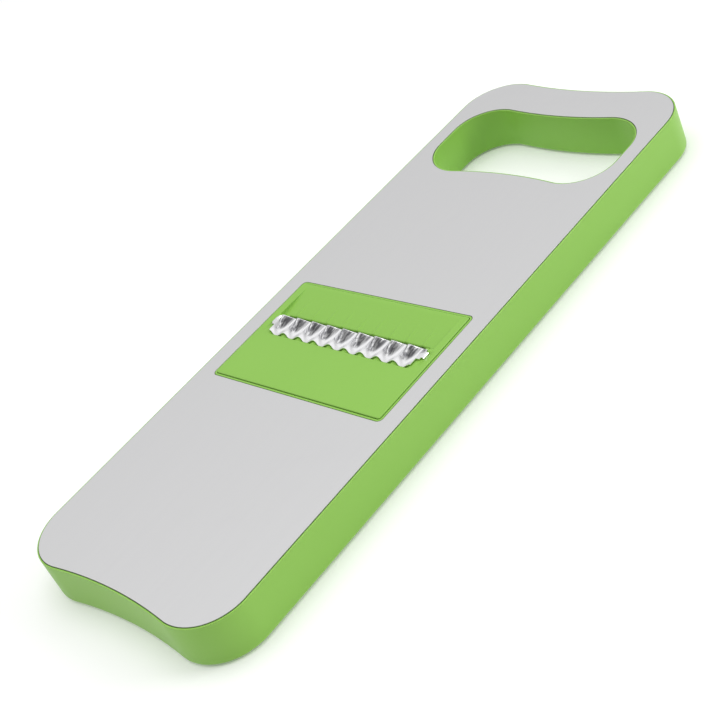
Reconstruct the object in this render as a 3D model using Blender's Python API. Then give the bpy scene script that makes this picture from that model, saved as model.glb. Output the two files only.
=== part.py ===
"""Mandoline slicer with a lift-out toothed insert.

A hollow moulded tub holds a ribbed core. The core carries a bonded stainless steel plate, whose two ends
are shallow waves. A four-finger handle hole goes through at the +Y end. A moulded insert with a stamped
blade drops into a well in the middle. Sizes are in millimetres and become metres in mesh_object. The
origin is on the surface that the slicer stands on, under its middle. +Z is up, +Y points to the handle.
"""

import math

import bpy
import numpy as np
from mathutils import Matrix, Vector

MM = 0.001

# How finely round stretches are divided.
CORNER_STEPS = 10
END_STEPS = 10
SMALL_CORNER_STEPS = 4
TURN_STEPS = 16
TOOTH_STEPS = 10
BEND_STEPS = 3
TAB_ROWS = 5
TONGUE_ROWS = 3

# Steel plate: a rectangle with round corners, whose two ends curve inwards between the corners.
PLATE_LENGTH = 300.0
PLATE_WIDTH = 106.4
PLATE_THICKNESS = 0.8
PLATE_CORNER_RADIUS = 19.3
PLATE_END_RADIUS = 210.0

# Tub: the outer shell, measured from its underside to the plate's top face. Its lip ends a little lower.
TUB_HEIGHT = 18.5
TUB_WALL = 2.4
TUB_FLOOR = 2.2
TUB_DRAFT = 0.35
TUB_FOOT_RADIUS = 1.4
LIP = 0.55
LIP_EDGE = 0.25
LIP_SUNK = 0.25
LIP_DEPTH = 1.3
PLATE_GAP = 0.2
FIT_GAP = 0.3
FILM_GAP = 0.2
FILM_THICKNESS = 0.3

# Handle hole.
HANDLE_SIDE_BAR = 7.35
HANDLE_LENGTH = 44.2
HANDLE_END_BAR = 19.8
HANDLE_CORNER_RADIUS = 17.2
HANDLE_END_RADIUS = 186.0
HANDLE_FOOT_FLARE = 1.2

# Window in the plate for the insert, and the well that the insert drops into.
WINDOW_SIDE_BAR = 7.7
WINDOW_LENGTH = 57.4
WINDOW_CENTRE_Y = -22.1
WINDOW_CORNER_RADIUS = 2.2
WELL_RIM = 0.8
WELL_WALL = 2.4
SEAT_WIDTH = 1.2
SMALLEST_CORNER = 0.3

# Core: a deck on ribs.
CORE_DECK = 2.0
RIB_THICKNESS = 1.6
RIB_PITCH = 24.0
RIB_LINE_SPACING = 30.0
RIB_END_INSET = 8.0
RIB_STAGGER = 0.2
BOSS_RADIUS = 3.6

# Screws from below, into the core's bosses.
SCREW_SHANK_RADIUS = 1.45
SCREW_HEAD_RADIUS = 2.9
SCREW_HEAD_HEIGHT = 1.5
SCREW_LENGTH = 11.0
SCREW_TIP_LENGTH = 1.5
SCREW_TIP_RADIUS = 0.45
SCREW_SIDE_INSET = 15.2
SCREW_END_INSET = 15.0
SCREW_BAR_INSET = 29.2
SCREW_MIDDLE_Y = 30.0

# Rubber feet, pushed through holes in the tub's floor.
FOOT_PROUD = 0.8
FOOT_RADIUS = 5.5
FOOT_EDGE = 0.5
FOOT_POCKET_DEPTH = 0.8
FOOT_STEM_RADIUS = 2.2
FOOT_HEAD_RADIUS = 3.2
FOOT_HEAD_RIM = 0.6
FOOT_HEAD_HEIGHT = 2.2
FOOT_TIP_RADIUS = 1.3
FOOT_SIDE_INSET = 17.2
FOOT_END_INSET = 30.0

# Insert.
INSERT_PROUD = 0.35
INSERT_THICKNESS = 3.0
INSERT_EDGE = 0.3
SKIRT_DEPTH = 9.0
SKIRT_WALL = 1.5
SKIRT_RELIEF = 0.2
RAMP_SIDE_RAIL = 3.2
RAMP_DROP = 1.65
RAMP_TOP_MARGIN = 1.6
GUIDE_HEIGHT = 0.55
GUIDE_WIDTH = 0.8
GUIDE_LENGTH = 11.0
GUIDE_END_SINK = 0.05
CATCH_WIDTH = 14.0
CATCH_SLIT = 1.0
CATCH_ROOT = 1.5
CATCH_BUMP = 0.2
CATCH_BUMP_HEIGHT = 1.0

# Blade: a stamped strip whose teeth rise at the front edge and dip at the rear edge.
TOOTH_COUNT = 9
BLADE_END_INSET = 3.485
BLADE_THICKNESS = 0.5
BLADE_LEVEL = 0.85
BLADE_FRONT_Y = 7.3
BLADE_DEPTH = 8.4
BLADE_TAB_DEPTH = 5.1
TOOTH_RISE = 3.05
TOOTH_DIP = 1.4
TOOTH_LEAN = 1.9
TOOTH_TONGUE = 1.1
TAB_LENGTH = 2.6
TAB_BEND_RADIUS = 0.6
LEG_INSET_ROWS = 1
LEG_FOLD = 1.6
MOUTH_GAP = 2.9
BLADE_BACKING = 4.2
BED_DEPTH = 1.55
BED_SHALLOW = 0.1
BED_FRONT = 1.0

# Levels above the supporting surface.
Z_UNDER = FOOT_PROUD
Z_FLOOR = Z_UNDER + TUB_FLOOR
Z_TOP = Z_UNDER + TUB_HEIGHT
Z_LIP = Z_TOP - LIP_SUNK
Z_STEP = Z_TOP - LIP_DEPTH
Z_PLATE = Z_TOP - PLATE_THICKNESS
Z_FILM = Z_PLATE - FILM_GAP - FILM_THICKNESS
Z_DECK_TOP = Z_FILM - FILM_GAP
Z_DECK = Z_DECK_TOP - CORE_DECK
Z_INSERT_TOP = Z_TOP + INSERT_PROUD
Z_INSERT = Z_INSERT_TOP - INSERT_THICKNESS
Z_SEAT = Z_INSERT - FIT_GAP
Z_SKIRT = Z_INSERT - SKIRT_DEPTH
ABOVE = Z_TOP + 10.0
BELOW = -5.0

# Offsets from the edge of the plate, of the handle hole and of the well.
LIP_INNER = PLATE_GAP
LIP_OUTER = PLATE_GAP + LIP
WALL_INNER = LIP_OUTER - TUB_WALL
HANDLE_LIP = LIP
HANDLE_CUT = LIP + PLATE_GAP
HANDLE_RING = TUB_WALL
WELL_TO_WINDOW = PLATE_GAP + WELL_RIM
HANDLE_WIDTH = PLATE_WIDTH - 2 * HANDLE_SIDE_BAR
WINDOW_WIDTH = PLATE_WIDTH - 2 * WINDOW_SIDE_BAR
HANDLE_CENTRE_Y = PLATE_LENGTH / 2 - HANDLE_END_BAR - HANDLE_LENGTH / 2

# Places along the blade and its mouth. The teeth share what the insert leaves between the blade's tabs.
TEETH_HALF = WINDOW_WIDTH / 2 - WELL_TO_WINDOW - FIT_GAP - BLADE_END_INSET - TAB_LENGTH
TOOTH_PITCH = 2 * TEETH_HALF / TOOTH_COUNT
BLADE_Y = WINDOW_CENTRE_Y + BLADE_FRONT_Y
MOUTH_Y = BLADE_Y + MOUTH_GAP
LEG_X = TEETH_HALF + TAB_LENGTH
LEG_ROOM = BLADE_THICKNESS / 2 + FIT_GAP


def clear_scene():
    for old in list(bpy.data.objects):
        bpy.data.objects.remove(old, do_unlink=True)


def material(name, colour, roughness, metallic=0.0):
    """A plain finish. The colour is linear RGB."""
    finish = bpy.data.materials.new(name)
    finish.use_nodes = True
    shader = finish.node_tree.nodes["Principled BSDF"]
    shader.inputs["Base Color"].default_value = (*colour, 1.0)
    shader.inputs["Roughness"].default_value = roughness
    shader.inputs["Metallic"].default_value = metallic
    finish.diffuse_color = (*colour, 1.0)
    return finish


def mesh_object(name, points, faces, finish=None):
    """A mesh object from points in millimetres."""
    mesh = bpy.data.meshes.new(name)
    mesh.from_pydata([Vector(point) * MM for point in points], [], faces)
    mesh.update()
    body = bpy.data.objects.new(name, mesh)
    bpy.context.scene.collection.objects.link(body)
    if finish:
        mesh.materials.append(finish)
    return body


def smooth(body, angle=35.0):
    body.data.shade_smooth()
    body.data.set_sharp_from_angle(angle=math.radians(angle))


def arc(centre_x, centre_y, radius, start, end, steps):
    """Points along an arc, from the start angle to the end angle in radians, both included."""
    angles = np.linspace(start, end, steps + 1)
    return [(centre_x + radius * math.cos(a), centre_y + radius * math.sin(a)) for a in angles]


def waved_outline(width, length, corner, end_radius, centre_y=0.0, grow=0.0):
    """A rounded rectangle whose ends curve inwards, moved outwards by grow.

    Each end arc has its centre outside the shape, on X = 0, and touches both corner arcs. Moving the
    outline outwards makes a corner arc larger and an end arc smaller about the same centres.
    """
    centre_x = width / 2 - corner
    corner_y = length / 2 - corner
    rise = math.sqrt((end_radius + corner) ** 2 - centre_x**2)
    half_turn = math.asin(centre_x / (end_radius + corner))
    right = arc(centre_x, corner_y, corner + grow, 0.0, math.pi / 2 + half_turn, CORNER_STEPS)
    first, last = -math.pi / 2 + half_turn, -math.pi / 2 - half_turn
    end = arc(0.0, corner_y + rise, end_radius - grow, first, last, END_STEPS)
    left = [(-x, y) for x, y in reversed(right)]
    upper = right + end[1:-1] + left
    lower = [(-x, -y) for x, y in upper]
    return [(x, y + centre_y) for x, y in upper + lower]


def rounded_rectangle(width, length, corner, centre_y=0.0, grow=0.0):
    """A rectangle with round corners, moved outwards by grow."""
    radius = max(corner + grow, SMALLEST_CORNER)
    centre_x = width / 2 + grow - radius
    corner_y = length / 2 + grow - radius
    upper = arc(centre_x, corner_y, radius, 0.0, math.pi / 2, SMALL_CORNER_STEPS)
    upper += arc(-centre_x, corner_y, radius, math.pi / 2, math.pi, SMALL_CORNER_STEPS)
    lower = [(-x, -y) for x, y in upper]
    return [(x, y + centre_y) for x, y in upper + lower]


def plate_outline(grow):
    return waved_outline(
        PLATE_WIDTH, PLATE_LENGTH, PLATE_CORNER_RADIUS, PLATE_END_RADIUS, 0.0, grow
    )


def handle_outline(grow):
    return waved_outline(
        HANDLE_WIDTH, HANDLE_LENGTH, HANDLE_CORNER_RADIUS, HANDLE_END_RADIUS, HANDLE_CENTRE_Y, grow
    )


def window_outline(grow):
    return rounded_rectangle(
        WINDOW_WIDTH, WINDOW_LENGTH, WINDOW_CORNER_RADIUS, WINDOW_CENTRE_Y, grow
    )


def loft(name, outline, levels, finish=None):
    """A closed solid through the outline at each level: levels are pairs of height and growth, bottom up."""
    rings = [[(x, y, z) for x, y in outline(grow)] for z, grow in levels]
    count = len(rings[0])
    points = [point for ring in rings for point in ring]
    faces = [list(reversed(range(count))), [count * (len(rings) - 1) + i for i in range(count)]]
    for level in range(len(rings) - 1):
        low, high = level * count, (level + 1) * count
        for i in range(count):
            after = (i + 1) % count
            faces.append([low + i, low + after, high + after, high + i])
    return mesh_object(name, points, faces, finish)


def box(name, low, high, finish=None):
    """A box between two corners."""
    points = [(x, y, z) for z in (low[2], high[2]) for y in (low[1], high[1]) for x in (low[0], high[0])]
    faces = [(0, 2, 3, 1), (4, 5, 7, 6), (0, 1, 5, 4), (2, 6, 7, 3), (0, 4, 6, 2), (1, 3, 7, 5)]
    return mesh_object(name, points, faces, finish)


def prism_x(name, profile, low_x, high_x, finish=None):
    """A profile of (y, z) points, counter-clockwise seen from +X, drawn out along X."""
    count = len(profile)
    points = [(low_x, y, z) for y, z in profile] + [(high_x, y, z) for y, z in profile]
    faces = [list(reversed(range(count))), list(range(count, 2 * count))]
    for i in range(count):
        after = (i + 1) % count
        faces.append([i, after, count + after, count + i])
    return mesh_object(name, points, faces, finish)


def prism_y(name, profile, low_y, high_y):
    """A profile of (x, z) points, counter-clockwise seen from the near end, drawn out along Y."""
    count = len(profile)
    points = [(x, low_y, z) for x, z in profile] + [(x, high_y, z) for x, z in profile]
    faces = [list(range(count)), list(reversed(range(count, 2 * count)))]
    for i in range(count):
        after = (i + 1) % count
        faces.append([after, i, count + i, count + after])
    return mesh_object(name, points, faces)


def turned(name, profile, x, y, finish=None):
    """A profile of (radius, z) points, bottom up, turned about a vertical axis, with flat ends."""
    steps = TURN_STEPS
    turn = [2 * math.pi * i / steps for i in range(steps)]
    points = []
    for radius, z in profile:
        points += [(x + radius * math.cos(a), y + radius * math.sin(a), z) for a in turn]
    top = steps * (len(profile) - 1)
    faces = [list(reversed(range(steps))), list(range(top, top + steps))]
    for ring in range(len(profile) - 1):
        low, high = ring * steps, (ring + 1) * steps
        for i in range(steps):
            after = (i + 1) % steps
            faces.append([low + i, low + after, high + after, high + i])
    return mesh_object(name, points, faces, finish)


def tool_group(name, tools):
    """Puts helper solids in a collection of their own, hidden from renders."""
    group = bpy.data.collections.new(name)
    bpy.context.scene.collection.children.link(group)
    group.hide_render = True
    for tool in tools:
        tool.hide_render = True
        tool.display_type = "WIRE"
        bpy.context.scene.collection.objects.unlink(tool)
        group.objects.link(tool)
    return group


def shape_with(body, operation, tools):
    """Joins the tools to the body (UNION) or cuts them from it (DIFFERENCE)."""
    for tool in tools:
        modifier = body.modifiers.new(f"{operation.lower()} {tool.name}", "BOOLEAN")
        modifier.operation = operation
        modifier.solver = "EXACT"
        modifier.object = tool
    tool_group(f"{body.name} {operation.lower()} {tools[0].name}", tools)


def screw_places():
    """Two screws beside the middle, two near the -Y end, and two in the bar behind the finger hole."""
    side_x = PLATE_WIDTH / 2 - SCREW_SIDE_INSET
    bar_x = PLATE_WIDTH / 2 - SCREW_BAR_INSET
    near = -PLATE_LENGTH / 2 + SCREW_END_INSET
    bar = PLATE_LENGTH / 2 - HANDLE_END_BAR / 2
    levels = [(side_x, SCREW_MIDDLE_Y), (bar_x, near), (bar_x, bar)]
    return [(side * x, y) for x, y in levels for side in (-1, 1)]


def foot_places():
    """Two feet near the -Y end and two in front of the finger hole."""
    x = PLATE_WIDTH / 2 - FOOT_SIDE_INSET
    near = -PLATE_LENGTH / 2 + FOOT_END_INSET
    far = HANDLE_CENTRE_Y - HANDLE_LENGTH / 2 - FOOT_END_INSET / 2
    return [(side * x, y) for y in (near, far) for side in (-1, 1)]


def make_tub(finish):
    """Outer wall, floor, finger-hole wall and insert well in one moulding."""
    rounding = [
        (
            Z_UNDER + TUB_FOOT_RADIUS * (1 - math.cos(turn)),
            LIP_OUTER + TUB_DRAFT - TUB_FOOT_RADIUS * (1 - math.sin(turn)),
        )
        for turn in np.linspace(0.0, math.pi / 2, 4)
    ]
    levels = rounding + [(Z_LIP - LIP_EDGE, LIP_OUTER), (Z_LIP, LIP_OUTER - LIP_EDGE)]
    tub = loft("body_tub", plate_outline, levels, finish)
    shape_with(
        tub,
        "DIFFERENCE",
        [
            loft("recess", plate_outline, [(Z_STEP, LIP_INNER), (ABOVE, LIP_INNER)]),
            loft("cavity", plate_outline, [(Z_FLOOR, WALL_INNER), (ABOVE, WALL_INNER)]),
        ],
    )
    root = Z_UNDER + TUB_FLOOR / 2
    well = -WELL_TO_WINDOW
    shape_with(
        tub,
        "UNION",
        [
            loft("handle ring", handle_outline, [(root, HANDLE_RING), (Z_STEP, HANDLE_RING)]),
            loft("handle lip", handle_outline, [(root, HANDLE_LIP), (Z_LIP, HANDLE_LIP)]),
            loft("well ring", window_outline, [(root, well + WELL_WALL), (Z_STEP, well + WELL_WALL)]),
            loft("well rim", window_outline, [(root, -PLATE_GAP), (Z_TOP, -PLATE_GAP)]),
        ],
    )
    flare = [(BELOW, HANDLE_FOOT_FLARE), (Z_UNDER, HANDLE_FOOT_FLARE)]
    flare += [(Z_UNDER + HANDLE_FOOT_FLARE, 0.0), (ABOVE, 0.0)]
    cuts = [
        loft("finger hole", handle_outline, flare),
        loft("upper well", window_outline, [(Z_SEAT, well), (ABOVE, well)]),
        loft("lower well", window_outline, [(BELOW, well - SEAT_WIDTH), (ABOVE, well - SEAT_WIDTH)]),
    ]
    for x, y in screw_places():
        cuts.append(screw_solid("screw hole", x, y, FIT_GAP, BELOW - Z_UNDER))
    for x, y in foot_places():
        cuts.append(foot_hole(x, y))
    shape_with(tub, "DIFFERENCE", cuts)
    return tub


def screw_solid(name, x, y, gap=0.0, head_reach=0.0, finish=None):
    """A flat-headed screw with its head down, or with a gap and a longer head, the hole for it."""
    head_z = Z_UNDER + head_reach
    cone_z = Z_UNDER + SCREW_HEAD_HEIGHT / 3 + FIT_GAP / 2
    neck_z = cone_z + SCREW_HEAD_HEIGHT * 2 / 3
    tip_z = Z_UNDER + SCREW_LENGTH + gap
    profile = [(SCREW_HEAD_RADIUS + gap, head_z), (SCREW_HEAD_RADIUS + gap, cone_z + gap)]
    shank = SCREW_SHANK_RADIUS + gap
    profile += [(shank, neck_z + gap), (shank, tip_z - SCREW_TIP_LENGTH)]
    profile.append((SCREW_TIP_RADIUS + gap, tip_z))
    return turned(name, profile, x, y, finish=finish)


def foot_hole(x, y):
    """A shallow pocket for the pad and a hole for the stem."""
    pocket = FOOT_RADIUS + FIT_GAP
    stem = FOOT_STEM_RADIUS + FIT_GAP
    roof = Z_UNDER + FOOT_POCKET_DEPTH
    profile = [(pocket, BELOW), (pocket, roof), (stem, roof), (stem, Z_FLOOR + TUB_FLOOR)]
    return turned("foot hole", profile, x, y)


def make_core(finish):
    """Deck and ribs inside the tub, open round the finger hole and the well, with screw bosses.

    Long ribs, cross ribs and bosses end at slightly different heights inside the deck.
    """
    edge = WALL_INNER - FIT_GAP
    low = Z_FLOOR + FIT_GAP
    core = loft("support_core", plate_outline, [(Z_DECK, edge), (Z_DECK_TOP, edge)], finish)
    reach_x = PLATE_WIDTH / 2 + edge - FIT_GAP
    reach_y = PLATE_LENGTH / 2 - RIB_END_INSET
    into = Z_DECK + CORE_DECK / 2
    half = RIB_THICKNESS / 2
    parts = []
    for x in (-RIB_LINE_SPACING, 0.0, RIB_LINE_SPACING):
        parts.append(box("long rib", (x - half, -reach_y, low), (x + half, reach_y, into)))
    rib_count = math.floor((PLATE_LENGTH - 2 * PLATE_CORNER_RADIUS) / RIB_PITCH)
    first = -rib_count * RIB_PITCH / 2
    for i in range(rib_count + 1):
        y = first + i * RIB_PITCH
        parts.append(box("cross rib", (-reach_x, y - half, low), (reach_x, y + half, into + RIB_STAGGER)))
    for x, y in screw_places():
        top = into + 2 * RIB_STAGGER
        parts.append(turned("boss", [(BOSS_RADIUS, low), (BOSS_RADIUS, top)], x, y))
    shape_with(core, "UNION", parts)
    clear_ring = HANDLE_RING + FIT_GAP
    clear_well = -WELL_TO_WINDOW + WELL_WALL + FIT_GAP
    cuts = [
        loft("handle gap", handle_outline, [(BELOW, clear_ring), (ABOVE, clear_ring)]),
        loft("well gap", window_outline, [(BELOW, clear_well), (ABOVE, clear_well)]),
    ]
    for x, y in screw_places():
        cuts.append(screw_solid("pilot hole", x, y, FIT_GAP, BELOW - Z_UNDER))
    for x, y in foot_places():
        room = FOOT_HEAD_RADIUS + FIT_GAP
        top = Z_FLOOR + FOOT_HEAD_RADIUS
        cuts.append(turned("foot room", [(room, BELOW), (room, top)], x, y))
    shape_with(core, "DIFFERENCE", cuts)
    return core


def plate_like(name, low_z, high_z, edge, handle_grow, window_grow, finish):
    """A sheet with the plate's outline, cut for the finger hole and for the well."""
    sheet = loft(name, plate_outline, [(low_z, edge), (high_z, edge)], finish)
    shape_with(
        sheet,
        "DIFFERENCE",
        [
            loft("handle cut", handle_outline, [(BELOW, handle_grow), (ABOVE, handle_grow)]),
            loft("window cut", window_outline, [(BELOW, window_grow), (ABOVE, window_grow)]),
        ],
    )
    return sheet


def make_plate(finish):
    return plate_like("top_plate", Z_PLATE, Z_TOP, 0.0, HANDLE_CUT, 0.0, finish)


def make_film(finish):
    clear_ring = HANDLE_RING + 2 * FIT_GAP
    clear_well = -WELL_TO_WINDOW + WELL_WALL + 2 * FIT_GAP
    top = Z_FILM + FILM_THICKNESS
    return plate_like(
        "plate_bond_film", Z_FILM, top, WALL_INNER - 2 * FIT_GAP, clear_ring, clear_well, finish
    )


def make_screws(finish):
    for i, (x, y) in enumerate(screw_places(), 1):
        screw = screw_solid(f"core_screw_{i}", x, y, finish=finish)
        smooth(screw)


def make_feet(finish):
    """Each foot is a pad, a stem through the floor, and a wider head that snaps in above the floor."""
    roof = Z_UNDER + FOOT_POCKET_DEPTH - FIT_GAP
    head = Z_FLOOR + FIT_GAP
    profile = [(FOOT_RADIUS - FOOT_EDGE, 0.0), (FOOT_RADIUS, FOOT_EDGE), (FOOT_RADIUS, roof)]
    profile += [(FOOT_STEM_RADIUS, roof), (FOOT_STEM_RADIUS, head), (FOOT_HEAD_RADIUS, head)]
    profile += [(FOOT_HEAD_RADIUS, head + FOOT_HEAD_RIM), (FOOT_TIP_RADIUS, head + FOOT_HEAD_HEIGHT)]
    for i, (x, y) in enumerate(foot_places(), 1):
        smooth(turned(f"foot_{i}", profile, x, y, finish=finish))


def insert_origin():
    """The empty that the insert's pieces hang from, in the middle of the well at the seat's level."""
    empty = bpy.data.objects.new("insert_lift", None)
    bpy.context.scene.collection.objects.link(empty)
    empty.location = Vector((0.0, WINDOW_CENTRE_Y, Z_SEAT)) * MM
    return empty


def hang_from(empty, body):
    """Parents a body to the empty, with its mesh moved so that the body stays where it was made."""
    body.data.transform(Matrix.Translation(-empty.location))
    body.parent = empty


def insert_outline(grow):
    return window_outline(-WELL_TO_WINDOW - FIT_GAP + grow)


def ramp_height(y):
    """Height of the feed ramp: level with the top at its upper end, RAMP_DROP lower at the mouth."""
    upper = WINDOW_CENTRE_Y + WINDOW_LENGTH / 2 - WELL_TO_WINDOW - FIT_GAP - RAMP_TOP_MARGIN
    return Z_INSERT_TOP - RAMP_DROP * (upper - y) / (upper - MOUTH_Y)


def make_insert_frame(finish, empty):
    """Rim, feed ramp with guides, side rails, mouth, landing, and a skirt with two snap tongues."""
    frame = loft(
        "insert_frame",
        insert_outline,
        [(Z_INSERT, 0.0), (Z_INSERT_TOP - INSERT_EDGE, 0.0), (Z_INSERT_TOP, -INSERT_EDGE)],
        finish,
    )
    half_length = WINDOW_LENGTH / 2 - WELL_TO_WINDOW - FIT_GAP - SEAT_WIDTH
    half_width = WINDOW_WIDTH / 2 - WELL_TO_WINDOW - FIT_GAP - RAMP_SIDE_RAIL
    skirt = [(Z_SKIRT, -SEAT_WIDTH), (Z_INSERT + INSERT_THICKNESS / 2, -SEAT_WIDTH)]
    skirt_parts = [loft("skirt", insert_outline, skirt)]
    for side in (-1, 1):
        wall_y = WINDOW_CENTRE_Y + side * half_length
        low_y, high_y = sorted((wall_y - side * SKIRT_WALL / 2, wall_y + side * CATCH_BUMP))
        skirt_parts.append(
            box(
                "catch bump",
                (-CATCH_WIDTH / 3, low_y, Z_SKIRT + CATCH_BUMP_HEIGHT),
                (CATCH_WIDTH / 3, high_y, Z_SKIRT + 2 * CATCH_BUMP_HEIGHT),
            )
        )
    shape_with(frame, "UNION", skirt_parts)
    hollow = -SEAT_WIDTH - SKIRT_WALL
    slope = [(y, ramp_height(y)) for y in (MOUTH_Y - MOUTH_GAP / 2, WINDOW_CENTRE_Y + WINDOW_LENGTH)]
    ramp_profile = slope + [(slope[1][0], ABOVE), (slope[0][0], ABOVE)]
    cuts = [
        loft("skirt hollow", insert_outline, [(BELOW, hollow), (Z_INSERT + SKIRT_RELIEF, hollow)]),
        prism_x("ramp", ramp_profile, -half_width, half_width),
    ]
    for side_x in (-1, 1):
        middle = side_x * (CATCH_WIDTH + CATCH_SLIT) / 2
        cuts.append(
            box(
                "catch slit",
                (middle - CATCH_SLIT / 2, WINDOW_CENTRE_Y - WINDOW_LENGTH, BELOW),
                (middle + CATCH_SLIT / 2, WINDOW_CENTRE_Y + WINDOW_LENGTH, Z_INSERT - CATCH_ROOT),
            )
        )
    shape_with(frame, "DIFFERENCE", cuts)
    shape_with(frame, "UNION", guide_ribs())
    mouth_half = TEETH_HALF - FIT_GAP
    backing_y = BLADE_Y - BLADE_BACKING
    bed_y = BLADE_Y - BLADE_DEPTH - TOOTH_TONGUE - FIT_GAP
    mouth_cuts = [
        box("mouth", (-mouth_half, backing_y, BELOW), (mouth_half, MOUTH_Y, ABOVE)),
        prism_y("bed", bed_profile(mouth_half), bed_y, MOUTH_Y - BED_FRONT),
    ]
    leg_low, leg_high = leg_span()
    for side in (-1, 1):
        low_x, high_x = sorted(side * (LEG_X + reach) for reach in (-LEG_ROOM, LEG_ROOM))
        mouth_cuts.append(
            box("leg slot", (low_x, leg_low - FIT_GAP, BELOW), (high_x, leg_high + FIT_GAP, ABOVE))
        )
    shape_with(frame, "DIFFERENCE", mouth_cuts)
    hang_from(empty, frame)


def bed_profile(half):
    """(x, z) round the bed behind the mouth: one hollow under each tooth, as deep as the tooth dips."""
    profile = [(half, ABOVE), (-half, ABOVE)]
    for x in np.linspace(-half, half, TOOTH_COUNT * TOOTH_STEPS + 1):
        depth = BED_SHALLOW + (BED_DEPTH - BED_SHALLOW) * hump_at(x)
        profile.append((float(x), Z_INSERT_TOP - float(depth)))
    return profile


def hump_at(x):
    """The share of a tooth at x: cos^2(pi x / pitch), 1 on a tooth's middle line and 0 between teeth."""
    phase = x / TOOTH_PITCH if TOOTH_COUNT % 2 else x / TOOTH_PITCH + 0.5
    return np.cos(np.pi * phase) ** 2


def guide_ribs():
    """Low ribs along the ramp, one for each tooth, that rise out of it towards the mouth."""
    root = Z_INSERT + INSERT_THICKNESS / 4
    start, end = MOUTH_Y - MOUTH_GAP / 4, MOUTH_Y + GUIDE_LENGTH
    profile = [(start, root), (end, root), (end, ramp_height(end) - GUIDE_END_SINK)]
    profile.append((start, ramp_height(start) + GUIDE_HEIGHT))
    ribs = []
    for i in range(TOOTH_COUNT):
        x = (i - (TOOTH_COUNT - 1) / 2) * TOOTH_PITCH
        ribs.append(prism_x("guide", profile, x - GUIDE_WIDTH / 2, x + GUIDE_WIDTH / 2))
    return ribs


def leg_span():
    """The stretch of Y that the legs at the blade's ends take up: the middle part of the tab."""
    inset = BLADE_TAB_DEPTH * LEG_INSET_ROWS / TAB_ROWS
    return BLADE_Y - BLADE_TAB_DEPTH + inset, BLADE_Y - inset


def blade_path():
    """(x, z) along the right half of the strip: teeth, tab, bend, leg, bend, fold under the frame."""
    flat_z = Z_TOP + BLADE_LEVEL
    fold_z = Z_INSERT - FIT_GAP - BLADE_THICKNESS / 2
    radius = TAB_BEND_RADIUS
    path = [(x, flat_z) for x in np.linspace(0.0, TEETH_HALF, TOOTH_COUNT * TOOTH_STEPS // 2 + 1)]
    path += arc(LEG_X - radius, flat_z - radius, radius, math.pi / 2, 0.0, BEND_STEPS)
    path += arc(LEG_X - radius, fold_z + radius, radius, 0.0, -math.pi / 2, BEND_STEPS)
    path.append((LEG_X - radius - LEG_FOLD, fold_z))
    return path


def make_blade(finish, empty):
    """The stamped strip.

    It is worked out as a middle surface over u, along the path, and t, from the front edge to the rear
    edge. In each tooth the hump cos^2(pi x / pitch) lifts the front edge and lowers the rear edge, and
    both move back by an amount that follows the hump. Both faces lie half a thickness off that surface.
    """
    right = blade_path()
    path = [(-x, z) for x, z in reversed(right[1:])] + right
    across = np.array(path)
    tab_share = BLADE_TAB_DEPTH / BLADE_DEPTH
    tab_rows = np.linspace(0.0, tab_share, TAB_ROWS + 1)
    t = np.concatenate([tab_rows, np.linspace(tab_share, 1.0, TONGUE_ROWS + 1)[1:]])
    x, along = np.meshgrid(across[:, 0], t, indexing="ij")
    z = np.repeat(across[:, 1:2], len(t), axis=1)
    index = np.arange(len(across))
    middle = len(across) // 2
    toothed_steps = TOOTH_COUNT * TOOTH_STEPS // 2
    toothed = np.abs(index - middle) <= toothed_steps
    hump = np.where(toothed[:, None], hump_at(x), 0.0)
    z = z + hump * (TOOTH_RISE * (1 - along) - TOOTH_DIP * along)
    y = BLADE_Y - BLADE_DEPTH * along - hump * (TOOTH_LEAN * (1 - along) + TOOTH_TONGUE * along)
    surface = np.stack([x, y, z], axis=-1)
    normal = np.cross(np.gradient(surface, axis=1), np.gradient(surface, axis=0))
    normal /= np.linalg.norm(normal, axis=-1, keepdims=True)
    half = BLADE_THICKNESS / 2
    faces_of = np.stack([surface + half * normal, surface - half * normal])
    cell = np.ones((len(across) - 1, len(t) - 1), bool)
    tab_cell = ~(toothed[:-1] & toothed[1:])
    cell[tab_cell, TAB_ROWS:] = False
    leg_cell = np.abs(index[:-1] + 0.5 - middle) > toothed_steps + 1
    cell[leg_cell, :LEG_INSET_ROWS] = False
    cell[leg_cell, TAB_ROWS - LEG_INSET_ROWS :] = False
    blade = sheet_solid("blade", faces_of, cell, finish)
    smooth(blade, 50.0)
    hang_from(empty, blade)


def sheet_solid(name, sides, cell, finish):
    """A closed sheet from its upper and lower point grids, with walls round the cells that are kept."""
    rows, columns = cell.shape
    number = np.arange(2 * (rows + 1) * (columns + 1)).reshape(2, rows + 1, columns + 1)
    faces = []
    kept = np.pad(cell, 1)
    for i, j in zip(*np.nonzero(cell)):
        corners = [(i, j), (i, j + 1), (i + 1, j + 1), (i + 1, j)]
        upper = [int(number[0, a, b]) for a, b in corners]
        lower = [int(number[1, a, b]) for a, b in corners]
        faces += [upper, lower[::-1]]
        beside = (kept[i, j + 1], kept[i + 1, j + 2], kept[i + 2, j + 1], kept[i + 1, j])
        for side, neighbour in enumerate(beside):
            if not neighbour:
                a, b = side, (side + 1) % 4
                faces.append([upper[b], upper[a], lower[a], lower[b]])
    used = sorted({corner for face in faces for corner in face})
    place = {old: new for new, old in enumerate(used)}
    points = sides.reshape(-1, 3)[used].tolist()
    return mesh_object(name, points, [[place[corner] for corner in face] for face in faces], finish)


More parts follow.
